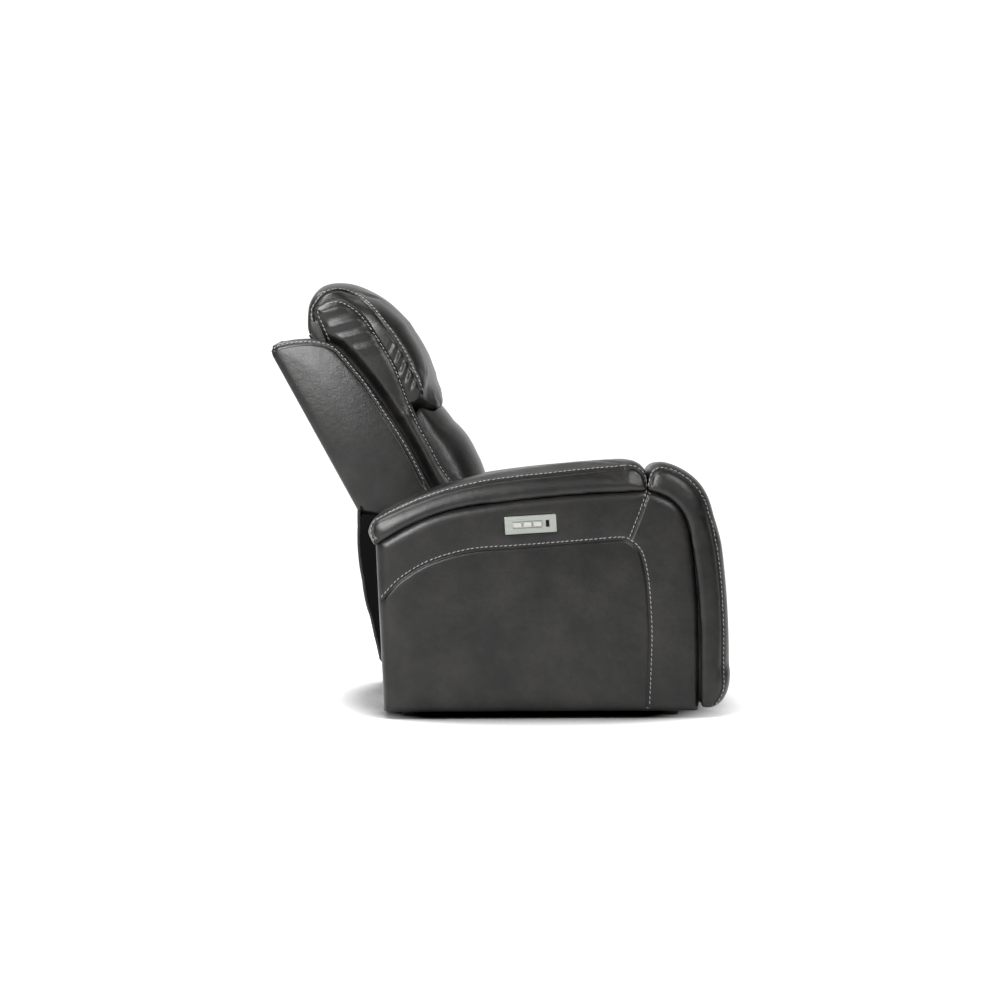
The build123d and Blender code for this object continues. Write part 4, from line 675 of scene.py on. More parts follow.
# %% [markdown]
# ## Swelling
# Foam under leather swells between its seams. A cushion or pad is blown up as cloth by air pressure,
# with the faces that rest on something held still, and a cap on how far a point may move. A flat
# panel needs less: its skin is lifted more where it is further from its seams.

# %% Swelling by cloth pressure
SIM_FRAMES = 20
MOST_SUNK = 0.004
PINNED = 0.01
NO_LENGTH = 1e-9
CLOTH = {
    "quality": 4,
    "mass": 0.3,
    "tension_stiffness": 12,
    "compression_stiffness": 12,
    "shear_stiffness": 6,
    "bending_stiffness": 1.5,
    "use_pressure": True,
    "uniform_pressure_force": 4.0,
}


def simulated(piece, free):
    """Where air pressure moves the points of a skin that are free to move."""
    group = piece.vertex_groups.new(name="held")
    group.add([int(i) for i in np.nonzero(free < PINNED)[0]], 1.0, "REPLACE")
    cloth = piece.modifiers.new("pressure", "CLOTH")
    for key, value in CLOTH.items():
        setattr(cloth.settings, key, value)
    cloth.settings.effector_weights.gravity = 0
    cloth.settings.vertex_group_mass = group.name
    cloth.collision_settings.use_collision = False
    scene = bpy.context.scene
    for number in range(1, SIM_FRAMES + 1):
        scene.frame_set(number)
    swelled = points_of(piece.evaluated_get(bpy.context.evaluated_depsgraph_get()))
    piece.modifiers.remove(cloth)
    piece.vertex_groups.remove(group)
    scene.frame_set(1)
    return swelled


def pressed_out(piece, hold, cap):
    """Swells a skin by no more than a cap, where hold is 0 and not where it is 1."""
    start, normals = points_of(piece), normals_of(piece)
    free = 1 - np.asarray(hold, float)
    moved = simulated(piece, free) - start
    sunk = np.clip(-MOST_SUNK - (moved * normals).sum(1), 0, None)
    moved += normals * sunk[:, None]
    length = np.linalg.norm(moved, axis=1) + NO_LENGTH
    set_points(piece, start + moved * free[:, None] * (cap * np.tanh(length / cap) / length)[:, None])
    print(piece.name, "swelled by up to", round(length.max() * 1000), "mm before the cap")


# %% Swelling between the seams
def pillow(piece, lines, height, reach, facing):
    """Swells the skin that faces one way, more where it is further from its seams."""
    points, normals = points_of(piece), normals_of(piece)
    away = distance_to(lines, points)
    front = np.clip(normals @ np.array(facing), 0, 1)
    lift = height * (1 - np.exp(-away / reach)) * front
    set_points(piece, points + normals * lift[:, None])


# %% Handing a padded piece over
SIDES = {"right": -1, "left": 1}


def dress(piece):
    """Gives a padded piece its leather, and says how full it is."""
    piece.data.materials.clear()
    piece.data.materials.append(leather)
    print(piece.name, "faces:", len(piece.data.polygons))


def upholster(piece, body, node):
    """Dresses a padded piece that rides on a body and stands for its CAD foam."""
    pick(piece)
    bpy.ops.object.shade_smooth()
    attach(piece, body)
    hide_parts(node)
    dress(piece)


def mirrored(piece, name):
    """A copy on the other side of the chair, turned right way out."""
    twin = bpy.data.objects.new(name, piece.data.copy())
    bpy.context.scene.collection.objects.link(twin)
    points = points_of(twin)
    points[:, 1] *= -1
    set_points(twin, points)
    twin.data.flip_normals()
    return twin


def swapped(line):
    """A line on the other side of the chair."""
    return [(Vector((p.x, -p.y, p.z)), Vector((n.x, -n.y, n.z))) for p, n in line]


def upholster_pair(right, body, node, stitches, rows):
    """Upholsters and stitches a piece on the sitter's right and its mirror image."""
    left = mirrored(right, right.name.replace("right", "left"))
    upholster(right, body, node + "_right")
    upholster(left, body, node + "_left")
    stitching(stitches + "_right", body, *rows)
    stitching(stitches + "_left", body, *[swapped(row) for row in rows])


# %% [markdown]
# ## Arm covers
# Each arm is a plywood box under a smooth leather cover. Its outer edges roll over thick wadding,
# and a seam runs along the side and down, with a short slanting seam to the top. A block with a
# rounded rim is nearest to how it is made, so the side view is drawn, filled, extruded and bevelled.
# The right cover has a pocket for the control unit, cut with a Boolean.

# %% Side views in millimetres
OUTLINE_STEP = 0.018


def mm(*pairs):
    """Pairs of millimetres as metres."""
    return [(a / 1000, b / 1000) for a, b in pairs]


def side_outline(*runs):
    """The (x, z) points of a side view, from smooth runs that meet at corners."""
    outline = []
    for run in runs:
        smooth = smooth_line([(x, 0, z) for x, z in run], OUTLINE_STEP)
        outline += [(p.x, p.z) for p in smooth[:-1]]
    return outline


# %% The lines of an arm cover
COVER_TOP = mm((-283, 418), (-154, 484), (0, 515), (180, 534), (358, 543))
COVER_FRONT = mm((358, 543), (432, 508), (463, 425), (478, 290), (482, 150), (482, 16))
COVER_HEEL = mm((482, 16), (-264, 16))
COVER_REAR = mm((-264, 16), (-271, 180), (-278, 310), (-283, 418))
COVER_OUTLINE = side_outline(COVER_TOP, COVER_FRONT, COVER_HEEL, COVER_REAR)
COVER_SEAM = mm(
    (-270, 286), (-225, 333), (-154, 374), (-60, 400), (43, 408), (124, 414), (225, 422), (296, 427),
    (319, 419), (339, 401), (349, 381), (358, 341), (364, 284), (368, 203), (366, 121), (362, 26))
COVER_SLANT = mm((314, 426), (335, 479), (355, 535))
print("points round an arm cover:", len(COVER_OUTLINE))

# %% Room for the control unit
COVER_OUTER = 0.4772
CONTROL_PLACE = Vector((0.081, 0.0, 0.457))
CONTROL_TILT = math.radians(3.5)
POCKET = (0.113, 0.080, 0.033)
PLATE_HALF_LENGTH, PLATE_HALF_HEIGHT = 0.058, 0.018
PLATE_FADE = 0.014
PLATE_REST = 0.4794
OUTER_SIDE = 0.45


def cut_pocket(cover):
    """Cuts the pocket behind the control plate."""
    bpy.ops.object.select_all(action="DESELECT")
    bpy.ops.mesh.primitive_cube_add(size=1, location=(CONTROL_PLACE.x, -COVER_OUTER, CONTROL_PLACE.z))
    block = bpy.context.object
    block.scale = POCKET
    block.rotation_euler = (0, -CONTROL_TILT, 0)
    pick(cover)
    cut = cover.modifiers.new("pocket", "BOOLEAN")
    cut.operation = "DIFFERENCE"
    cut.object = block
    bpy.ops.object.modifier_apply(modifier=cut.name)
    bpy.data.objects.remove(block)


def level_with_plate(cover):
    """Draws the leather in round the control plate."""
    points = points_of(cover)
    c, s = math.cos(CONTROL_TILT), math.sin(CONTROL_TILT)
    x, z = points[:, 0] - CONTROL_PLACE.x, points[:, 2] - CONTROL_PLACE.z
    past_end = np.clip(np.abs(c * x + s * z) - PLATE_HALF_LENGTH, 0, None)
    past_edge = np.clip(np.abs(c * z - s * x) - PLATE_HALF_HEIGHT, 0, None)
    out = np.hypot(past_end, past_edge)
    near = np.exp(-((out / PLATE_FADE) ** 2)) * (points[:, 1] < -OUTER_SIDE)
    rest = np.minimum(-points[:, 1], PLATE_REST)
    points[:, 1] = points[:, 1] * (1 - near) - rest * near
    set_points(cover, points)


# %% Making the arm covers
COVER_INNER = 0.300
COVER_ROLL = 0.024
COVER_VOXEL = 0.006
COVER_SWELL, COVER_REACH = 0.0032, 0.03
COVER_FOLD, COVER_FOLD_WIDTH = 0.003, 0.0032
FOLD_GAP = 0.0058
SLANT_GAP = 0.0045
TWIN_POINTS = 20


def cover_rows(cover, side):
    """The stitched lines along an arm cover's side and up to its top."""
    return laid_from_side(cover, COVER_SEAM, side), laid_from_side(cover, COVER_SLANT, side)


def cover_folds(cover, side):
    """The folds beside an arm cover's stitched lines."""
    row, slant = cover_rows(cover, side)
    return [beside(cover, row, side * FOLD_GAP), beside(cover, slant, side * SLANT_GAP)]


def arm_cover(name, side):
    """One arm cover: side is -1 for the sitter's right and 1 for the left."""
    outer = side * COVER_OUTER
    cover = cut_slab(name, COVER_OUTLINE, side * COVER_INNER, outer)
    round_rim(cover, outer, COVER_ROLL)
    if side < 0:
        cut_pocket(cover)
    even_skin(cover, COVER_VOXEL, rounds=8)
    seams = cover_folds(cover, side) + [rim_of(COVER_OUTLINE, outer)]
    pillow(cover, seams, COVER_SWELL, COVER_REACH, (0, side, 0))
    if side < 0:
        level_with_plate(cover)
    sew(cover, cover_folds(cover, side), COVER_FOLD, COVER_FOLD_WIDTH, cuts=2)
    return cover


covers = {label: arm_cover("leather_arm_" + label, side) for label, side in SIDES.items()}
for label, cover in covers.items():
    upholster(cover, "base", node="arm_cover_" + label)
for label, side in SIDES.items():
    row, slant = cover_rows(covers[label], side)
    twin = beside(covers[label], slant[-TWIN_POINTS:], side * 2 * SLANT_GAP)
    stitching("stitches_arm_" + label, "base", row, slant, twin)

# %% [markdown]
# ## Arm pads and front pads
# A padded top runs along each arm, and a second pad comes down its front. Both are foam boxes sewn
# from a band for the side and a panel for the face, so the band swells and a stitched seam runs all
# round the rim. The CAD foam is copied a little slimmer, given an even skin and blown up as cloth
# with the side that lies on the arm held still. Its lower edge is then settled on the arm cover.

# %% Blowing up a pad
PAD_WIDTH, PAD_SLIM = (-0.481, -0.299), (-0.4765, -0.3025)
PAD_VOXEL = 0.005
PAD_CAP = 0.008


def slimmed(piece, old, new):
    """Moves a piece's width from one range of y to another."""
    points = points_of(piece)
    share = (points[:, 1] - old[0]) / (old[1] - old[0])
    points[:, 1] = new[0] + share * (new[1] - new[0])
    set_points(piece, points)


def blown_pad(node, name, held):
    """A pad from its CAD foam, blown up where a test of its points and normals doesn't hold it."""
    pad = foam_copy(node, name)
    slimmed(pad, PAD_WIDTH, PAD_SLIM)
    even_skin(pad, PAD_VOXEL, rounds=4)
    pressed_out(pad, held(points_of(pad), normals_of(pad)), PAD_CAP)
    relaxed(pad, rounds=6)
    finer_skin(pad)
    return pad


# %% Settling and sewing a pad
SETTLE_STEP = 0.004
SETTLE_SIDE = (0.43, 0.468)
SETTLE_HEIGHT = (0.006, 0.030)
SKIRT, SKIRT_OUT = 0.007, 0.4
PAD_RIMS = (-0.480, -0.3005)
FACE_REACH = 0.03
PAD_SIDE, PAD_SIDE_REACH = 0.006, 0.018
PAD_FOLD, PAD_FOLD_WIDTH = 0.0028, 0.003


def settled(pad, line):
    """Presses a pad's outer lower edge onto the arm cover along a line of the side view."""
    points = points_of(pad)
    path = np.array([(p.x, p.z) for p in smooth_line([(x, 0, z) for x, z in line], SETTLE_STEP)])
    gaps = points[:, None, (0, 2)] - path[None]
    nearest = np.hypot(gaps[..., 0], gaps[..., 1]).argmin(1)
    ahead = path[np.minimum(nearest + 1, len(path) - 1)] - path[np.maximum(nearest - 1, 0)]
    inward = np.stack([ahead[:, 1], -ahead[:, 0]], 1) / np.linalg.norm(ahead, axis=1)[:, None]
    height = -((points[:, (0, 2)] - path[nearest]) * inward).sum(1)
    share = steps(*SETTLE_SIDE, -points[:, 1]) * (1 - steps(*SETTLE_HEIGHT, height))
    points[:, 0] += SKIRT * share * inward[:, 0]
    points[:, 2] += SKIRT * share * inward[:, 1]
    points[:, 1] -= SKIRT * share * SKIRT_OUT
    set_points(pad, points)


def sewn_pad(pad, seam, facing, swell, line, gap):
    """Swells a pad's face and side, settles it on a line and sews its rims. Gives the stitched rows."""
    outer, inner = [laid_on(pad, [(x, y, z) for x, z in seam]) for y in PAD_RIMS]
    pillow(pad, [outer, inner], swell, FACE_REACH, facing)
    pillow(pad, [outer], PAD_SIDE, PAD_SIDE_REACH, (0, -1, 0))
    relaxed(pad, rounds=12)
    settled(pad, line)
    sew(pad, [outer, inner], PAD_FOLD, PAD_FOLD_WIDTH)
    return [beside(pad, outer, gap), beside(pad, inner, -gap)]


# %% Arm pads
PAD_SEAM = mm(
    (-277, 424), (-290, 441), (-279, 467), (-154, 522), (-10, 558), (150, 578), (302, 591),
    (340, 581), (353, 560), (354, 546))
PAD_UNDERSIDE = -0.35
PAD_SWELL = -0.008
PAD_ROW_GAP = 0.008


def pad_underside(points, normals):
    """The points of an arm pad that lie on the arm."""
    return normals[:, 2] < PAD_UNDERSIDE


pad_right = blown_pad("arm_pad_right", "pad_arm_right", pad_underside)
pad_rows = sewn_pad(pad_right, PAD_SEAM, (0, 0, 1), PAD_SWELL, COVER_TOP, PAD_ROW_GAP)
upholster_pair(pad_right, "base", node="arm_pad", stitches="stitches_pad", rows=pad_rows)

# %% Front pads
FRONT_SEAM = mm(
    (366, 545), (368, 570), (376, 586), (396, 593), (430, 585), (461, 563), (489, 530), (509, 493),
    (526, 446), (537, 385), (544, 322), (548, 242), (548, 161), (545, 84), (537, 50), (520, 28))
FRONT_REAR = -0.5
FRONT_SOLE = 0.040
FRONT_FULL, FULL_FROM = 0.011, (0.43, 0.50)
BROW_SHARE, BROW_FROM = 0.7, (0.40, 0.50)
FRONT_FOOT, FOOT_TO = 0.010, (0.04, 0.12)
FRONT_SWELL = 0.003
FRONT_ROW_GAP = 0.006


def front_rear(points, normals):
    """The points of a front pad that lie on the arm, or near the floor."""
    return (normals[:, 0] < FRONT_REAR) | (points[:, 2] < FRONT_SOLE)


front_right = blown_pad("arm_front_pad_right", "pad_front_right", front_rear)
points = points_of(front_right)
fuller = FRONT_FULL * steps(*FULL_FROM, points[:, 0])
points[:, 0] += fuller * (1 - BROW_SHARE * steps(*BROW_FROM, points[:, 2]))
points[:, 2] -= FRONT_FOOT * (1 - steps(*FOOT_TO, points[:, 2]))
set_points(front_right, points)
front_rows = sewn_pad(front_right, FRONT_SEAM, (1, 0, 0), FRONT_SWELL, COVER_FRONT, FRONT_ROW_GAP)
upholster_pair(
    front_right, "base", node="arm_front_pad", stitches="stitches_front", rows=front_rows)

# %% [markdown]
# ## The back's own directions
# The back leans, so its pieces are drawn in its own directions: how far a point stands forward of
# the back's rear plane, and how far up the back it is. One function turns those into the chair's
# frame, another turns them back and a third moves points along them.

# %% Turning the back's directions into the chair's
BACK_HEEL = Vector((-0.316, 0.0, 0.484))
LEAN = math.radians(28.8)
FORWARD = Vector((math.cos(LEAN), 0.0, math.sin(LEAN)))
UPWARD = Vector((-math.sin(LEAN), 0.0, math.cos(LEAN)))


def on_back(*pairs):
    """(x, z) points from (forward, up) pairs in millimetres on the back."""
    places = [BACK_HEEL + FORWARD * (n / 1000) + UPWARD * (t / 1000) for n, t in pairs]
    return [(p.x, p.z) for p in places]


def back_reading(points):
    """How far forward and how far up the back each point is, in metres."""
    from_heel = points - np.array(BACK_HEEL)
    return from_heel @ np.array(FORWARD), from_heel @ np.array(UPWARD)


def moved_on_back(points, ahead, above):
    """Points moved forward and up in the back's directions."""
    return points + ahead[:, None] * np.array(FORWARD) + above[:, None] * np.array(UPWARD)


print("the back leans by", round(math.degrees(LEAN), 1), "degrees")

# %% [markdown]
# ## Wings
# The wings are the flat upholstered sides of the back. Their top and front edges roll over and carry
# a stitched seam, and their rear edge rolls round to the back panel. They are slabs cut from the side
# view, like the arms, drawn in towards the top and the rear.

# %% The lines of a wing
WING_TOP = on_back(
    (-10, 438), (-7, 450), (2, 458), (16, 461), (34, 456), (54, 449), (72, 441), (91, 432),
    (107, 420), (122, 405), (134, 387), (143, 362), (150, 330))
WING_FRONT = on_back((150, 330), (160, 275), (167, 220), (173, 148), (175, 68), (172, -18))
WING_TOE = on_back((172, -18), (178, -60), (188, -100), (200, -140))
WING_SOLE = on_back((200, -140), (168, -165))
WING_HEEL = on_back((168, -165), (-10, 0))
WING_REAR = on_back((-10, 0), (-10, 438))
WING_OUTLINE = side_outline(WING_TOP, WING_FRONT, WING_TOE, WING_SOLE, WING_HEEL, WING_REAR)
WING_SEAM = on_back(
    (0, 447), (13, 448), (47, 438), (83, 421), (108, 403), (122, 387), (131, 364), (141, 316),
    (150, 265), (157, 180), (163, 90), (161, -10))
print("points round a wing:", len(WING_OUTLINE))

# %% Wings
WING_INNER, WING_OUTER = 0.2372, 0.2895
WING_ROLL = 0.018
WING_VOXEL = 0.005
WING_REAR_IN, REAR_DEPTH = 0.007, 0.15
WING_TOP_IN, TOP_START, TOP_HEIGHT = 0.026, 0.10, 0.36
WING_SWELL, WING_REACH = 0.0045, 0.05
WING_FOLD, WING_FOLD_WIDTH = 0.0022, 0.0026
WING_ROW_GAP = 0.006

wing_right = cut_slab("wing_leather_right", WING_OUTLINE, -WING_INNER, -WING_OUTER)
round_rim(wing_right, -WING_OUTER, WING_ROLL)
even_skin(wing_right, WING_VOXEL, rounds=4)
points = points_of(wing_right)
forward, upward = back_reading(points)
lean_in = WING_REAR_IN * np.clip(1 - forward / REAR_DEPTH, 0, 1) ** 2
lean_in += WING_TOP_IN * np.clip((upward - TOP_START) / TOP_HEIGHT, 0, 1) ** 2
points[:, 1] += lean_in * (-points[:, 1] - WING_INNER) / (WING_OUTER - WING_INNER)
set_points(wing_right, points)
pillow(wing_right, [rim_of(WING_OUTLINE, -WING_OUTER)], WING_SWELL, WING_REACH, (0, -1, 0))
wing_fold = laid_from_side(wing_right, WING_SEAM, SIDES["right"])
sew(wing_right, [wing_fold], WING_FOLD, WING_FOLD_WIDTH)
wing_rows = [beside(wing_right, wing_fold, WING_ROW_GAP)]
upholster_pair(wing_right, "back", node="wing", stitches="stitches_wing", rows=wing_rows)

# %% [markdown]
# ## Lumbar and head cushions
# The back has two loose-looking cushions, the lower one for the small of the back and the upper one
# for the head, which tilts. Each is crowned across its width, and its sides fall back. The head
# cushion has a narrow gathered band between two seams. Both start from the CAD foam, made wider in
# front so that they cover the hinge arms, and are blown up as cloth with their rear faces held.

# %% The side panels' outline
TONGUE_FRONT = on_back(
    (236, -74), (231, -35), (226, 3), (227, 54), (227, 100), (228, 146), (232, 186), (239, 228),
    (244, 271), (244, 313), (242, 360), (235, 418), (223, 452), (201, 486), (166, 496), (138, 494),
    (128, 480), (125, 446), (120, 404), (118, 380))
TONGUE_REAR = on_back((118, 380), (118, -74))
TONGUE_FOOT = on_back((118, -74), (236, -74))
TONGUE_OUTLINE = side_outline(TONGUE_FRONT, TONGUE_REAR, TONGUE_FOOT)
PANEL_INSIDE = 0.205


def inside(outline, points):
    """Which points lie inside a side view's outline."""
    within = np.zeros(len(points), bool)
    x, z = points[:, 0], points[:, 2]
    for (x1, z1), (x2, z2) in zip(outline, outline[1:] + outline[:1]):
        if z1 != z2:
            crosses = (z1 > z) != (z2 > z)
            within ^= crosses & (x < x1 + (z - z1) * (x2 - x1) / (z2 - z1))
    return within


def under_panel(piece):
    """The points of a back cushion that a side panel covers."""
    points = points_of(piece)
    return (np.abs(points[:, 1]) > PANEL_INSIDE) & inside(TONGUE_OUTLINE, points)


print("points round a side panel:", len(TONGUE_OUTLINE))

# %% Places on a back cushion
CUSHION_HALF, CUSHION_WIDE = 0.226, 0.240
CUSHION_VOXEL = 0.007
CUSHION_CAP = 0.014
HINGE = (0.240, 0.215)
DRUM = 0.074
SIDES_FROM = (0.175, 0.215)


def widened(piece, span):
    """Moves a back cushion's sides out, over a span of distances forward."""
    points = points_of(piece)
    points[:, 1] *= 1 + (CUSHION_WIDE / CUSHION_HALF - 1) * steps(*span, back_reading(points)[0])
    set_points(piece, points)


def from_hinge(points):
    """How far forward, up and in all each point is from the hinge of the headrest."""
    forward, upward = back_reading(points)
    ahead, above = forward - HINGE[0], upward - HINGE[1]
    return ahead, above, np.hypot(ahead, above)


def at_sides(points):
    """How far a point of a back cushion belongs to its sides, from 0 to 1."""
    return steps(*SIDES_FROM, np.abs(points[:, 1]))


# %% Filling a cushion out to a section
MIDDLE = 0.05
NEAR = 0.006
FACE_FROM = (0.215, 0.295)


def filled_to(piece, section):
    """Moves a back cushion's front so that its middle passes through (forward, up) places."""
    points = points_of(piece)
    forward, upward = back_reading(points)
    middle = np.abs(points[:, 1]) < MIDDLE
    section = mm(*section)
    short = [n - forward[middle & (np.abs(upward - t) < NEAR)].max() for n, t in section]
    shift = np.interp(upward, [t for n, t in section], short) * steps(*FACE_FROM, forward)
    set_points(piece, moved_on_back(points, shift, 0 * shift))
    print(piece.name, "front moved by", [round(v * 1000) for v in short], "mm")


# %% Lumbar cushion
LUMBAR_SECTION = [(318, -54), (321, -32), (322, -9), (323, 14), (322, 38), (318, 63), (310, 91)]
LUMBAR_WIDENS = (0.222, 0.250)
CHIN_ROOM, CHIN_FROM, CHIN_HELD = 0.087, (0.0, 0.028), 0.006
DRUM_GAP = 0.002
SIDE_ROOM = 0.051
CHEEK_RISES, CHEEK_FALLS, CHEEK_DEEP = (-0.030, -0.005), (0.022, 0.055), 0.08
LUMBAR_REAR, LUMBAR_FOOT = (0.13, 0.17), (-0.09, 0.02)

lumbar = foam_copy("lumbar_cushion", "cushion_lumbar")
widened(lumbar, LUMBAR_WIDENS)
even_skin(lumbar, CUSHION_VOXEL, rounds=5)
points = points_of(lumbar)
ahead, above, away = from_hinge(points)
wanted = DRUM + DRUM_GAP + (CHIN_ROOM - DRUM) * steps(*CHIN_FROM, ahead)
push = np.clip(wanted - away, 0, None) / away
points = moved_on_back(points, ahead * push, above * push)
ahead, above, away = from_hinge(points)
cheek = (wanted - SIDE_ROOM) * at_sides(points)
cheek *= steps(*CHEEK_RISES, ahead) * (1 - steps(*CHEEK_FALLS, ahead))
cheek *= (1 - steps(wanted, wanted + CHEEK_DEEP, away)) / away
set_points(lumbar, moved_on_back(points, -ahead * cheek, -above * cheek))
relaxed(lumbar, rounds=10)
points = points_of(lumbar)
forward, upward = back_reading(points)
hold = np.maximum(1 - steps(*LUMBAR_REAR, forward), 1 - steps(*LUMBAR_FOOT, upward))
hold = np.maximum(hold, under_panel(lumbar) | (from_hinge(points)[2] < CHIN_ROOM + CHIN_HELD))
pressed_out(lumbar, hold, CUSHION_CAP)
finer_skin(lumbar)
filled_to(lumbar, LUMBAR_SECTION)

# %% Head cushion before the pressure
HEAD_WIDENS = (0.228, 0.252)
CHIN, CHIN_RISES, CHIN_FALLS, CHIN_OUT = 0.024, (0.010, 0.045), (-0.050, 0.0), 0.050
SIDE_DRUM, RAISED_RISES, RAISED_FALLS, RAISED_OUT = 0.044, (-0.045, -0.020), (-0.035, 0.0), 0.02
SIDE_FORWARD, FORWARD_SIDES, FORWARD_FACE = 0.010, (0.16, 0.222), (0.225, 0.262)
REAR_FORWARD, REAR_UP, REAR_PART, REAR_TOP = 0.010, -0.002, (0.12, 0.21), (0.41, 0.46)

head = foam_copy("headrest_cushion", "cushion_head")
widened(head, HEAD_WIDENS)
even_skin(head, CUSHION_VOXEL, rounds=4)
points = points_of(head)
forward, upward = back_reading(points)
ahead, above, away = from_hinge(points)
sides = at_sides(points)
chin = CHIN * (1 - sides) * steps(*CHIN_RISES, ahead) * (1 - steps(*CHIN_FALLS, above))
chin *= steps(CHIN_OUT, DRUM, away)
raised = (DRUM - SIDE_DRUM) * sides * steps(*RAISED_RISES, ahead) * (1 - steps(*RAISED_FALLS, above))
chin = (chin - raised * steps(RAISED_OUT, DRUM, away)) / away
points = moved_on_back(points, ahead * chin, above * chin)
side = SIDE_FORWARD * steps(*FORWARD_SIDES, np.abs(points[:, 1])) * steps(*FORWARD_FACE, forward)
rear = (1 - steps(*REAR_PART, forward)) * steps(*REAR_TOP, upward)
set_points(head, moved_on_back(points, side + REAR_FORWARD * rear, REAR_UP * rear))
relaxed(head, rounds=12)
print("head cushion points:", len(points))

# %% Blowing up the head cushion
HEAD_SECTION = [
    (313, 160), (320, 179), (323, 201), (329, 221), (332, 243), (335, 265), (335, 312), (333, 336),
    (332, 360), (326, 386), (318, 414), (308, 443), (301, 458), (291, 476), (253, 519)]
DRUM_SKIN, DRUM_FRONT, RAISED_HELD = 0.006, 0.030, 0.010
BAND_HOLD, BAND_SIDES, BAND_FACE = 0.8, (0.21, 0.225), (0.262, 0.280)
HEAD_REAR = (0.09, 0.12)
HEAD_TOP, TOP_FROM = 0.007, (0.44, 0.53)
HINGE_COVER, COVER_AWAY, COVER_SIDES = 0.2400, (0.030, 0.060), (0.19, 0.215)

points = points_of(head)
forward, upward = back_reading(points)
ahead, above, away = from_hinge(points)
drum = (np.abs(away - DRUM) < DRUM_SKIN) & (ahead < DRUM_FRONT) & (above < 0)
drum |= (raised > RAISED_HELD) & (away < DRUM)
band = BAND_HOLD * steps(*BAND_SIDES, np.abs(points[:, 1])) * (1 - steps(*BAND_FACE, forward))
hold = np.maximum(drum | under_panel(head), 1 - steps(*HEAD_REAR, forward))
pressed_out(head, np.maximum(hold, band), CUSHION_CAP)
finer_skin(head)
filled_to(head, HEAD_SECTION)
points = points_of(head)
lift = HEAD_TOP * steps(*TOP_FROM, back_reading(points)[1])
points = moved_on_back(points, 0 * lift, lift)
over_hinge = (1 - steps(*COVER_AWAY, from_hinge(points)[2])) * steps(*COVER_SIDES, np.abs(points[:, 1]))
wide = np.maximum(np.abs(points[:, 1]), HINGE_COVER)
points[:, 1] += (np.sign(points[:, 1]) * wide - points[:, 1]) * over_hinge
set_points(head, points)

# %% Seams and gathers of the head cushion
LOOP = on_back(
    (123, 468), (131, 489), (149, 501), (173, 510), (197, 510), (212, 505), (229, 490), (245, 468),
    (255, 437), (261, 404), (266, 370), (270, 335), (272, 296), (271, 260), (269, 227), (266, 200),
    (266, 182))
LOOP_FOLD, LOOP_FOLD_WIDTH = 0.0032, 0.0032
LOOP_ROW_GAP = 0.007
GATHER_PITCH, GATHER_SIZE, GATHER_SLANT = 0.027, 0.0022, 0.9
GATHER_REAR, GATHER_FRONT = (0.240, 0.249), (0.264, 0.273)
GATHER_LOW, GATHER_HIGH = (0.195, 0.225), (0.290, 0.345)

loop_right = laid_from_side(head, LOOP, SIDES["right"])
sew(head, [loop_right, swapped(loop_right)], LOOP_FOLD, LOOP_FOLD_WIDTH)
head_row = beside(head, loop_right, LOOP_ROW_GAP)
points = points_of(head)
forward, upward = back_reading(points)
band = steps(*GATHER_REAR, forward) * (1 - steps(*GATHER_FRONT, forward))
band *= steps(*GATHER_LOW, upward) * (1 - steps(*GATHER_HIGH, upward))
band *= steps(*BAND_SIDES, np.abs(points[:, 1]))
wave = np.cos(2 * np.pi * (upward - GATHER_SLANT * forward) / GATHER_PITCH)
set_points(head, points + normals_of(head) * (band * wave * GATHER_SIZE)[:, None])
upholster(lumbar, "back", node="lumbar_cushion")
upholster(head, "headrest", node="headrest_cushion")
stitching("stitches_head", "headrest", head_row, swapped(head_row))

# %% Leather over the head board
BOARD_VOXEL = 0.004
BOARD_IN, BOARD_TOP = 0.016, (0.38, 0.43)

board = foam_copy("headrest_board", "board_head")
even_skin(board, BOARD_VOXEL, rounds=2)
points = points_of(board)
inward = BOARD_IN * steps(*BOARD_TOP, back_reading(points)[1])
set_points(board, moved_on_back(points, inward, 0 * inward))
upholster(board, "headrest", node="headrest_board")

# %% [markdown]
# ## Side panels of the back
# A long tongue of leather closes each side of the back, from the arm to the top of the head cushion.
# It belongs to both cushions, so it bends with the head. It is a thin padded slab that swells in front
# of the wing and lies flat behind it, with soft wrinkles across its upper end.

# %% The skin of a side panel
TONGUE_INNER, TONGUE_OUTER, TONGUE_SKIN = 0.222, 0.2366, 0.002
TONGUE_VOXEL = 0.004
TONGUE_SWELL, SWELL_FROM, SWELL_REACH = 0.014, (0.004, 0.032), 0.012
TONGUE_EDGE, EDGE_WIDTH = 0.003, 0.004
WING_EDGE_UP = [
    -0.030, 0.068, 0.148, 0.220, 0.275, 0.326, 0.362, 0.387, 0.405, 0.420, 0.432, 0.449, 0.460]
WING_EDGE_FORWARD = [
    0.172, 0.175, 0.173, 0.167, 0.160, 0.151, 0.143, 0.134, 0.122, 0.107, 0.091, 0.054, 0.010]
WRINKLES = [(0.472, 0.0024), (0.430, 0.0028), (0.394, 0.0026), (0.357, 0.0018), (0.168, 0.0020)]
WRINKLE_WIDTH, WRINKLE_SLANT, WRINKLE_MIDDLE = 0.011, 0.25, 0.16
WRINKLE_PAST, WRINKLE_EDGE = (0.0, 0.02), (0.004, 0.02)


def past_wing(points):
    """How far each point stands in front of the wing's front edge."""
    forward, upward = back_reading(points)
    return forward - np.interp(upward, WING_EDGE_UP, WING_EDGE_FORWARD)


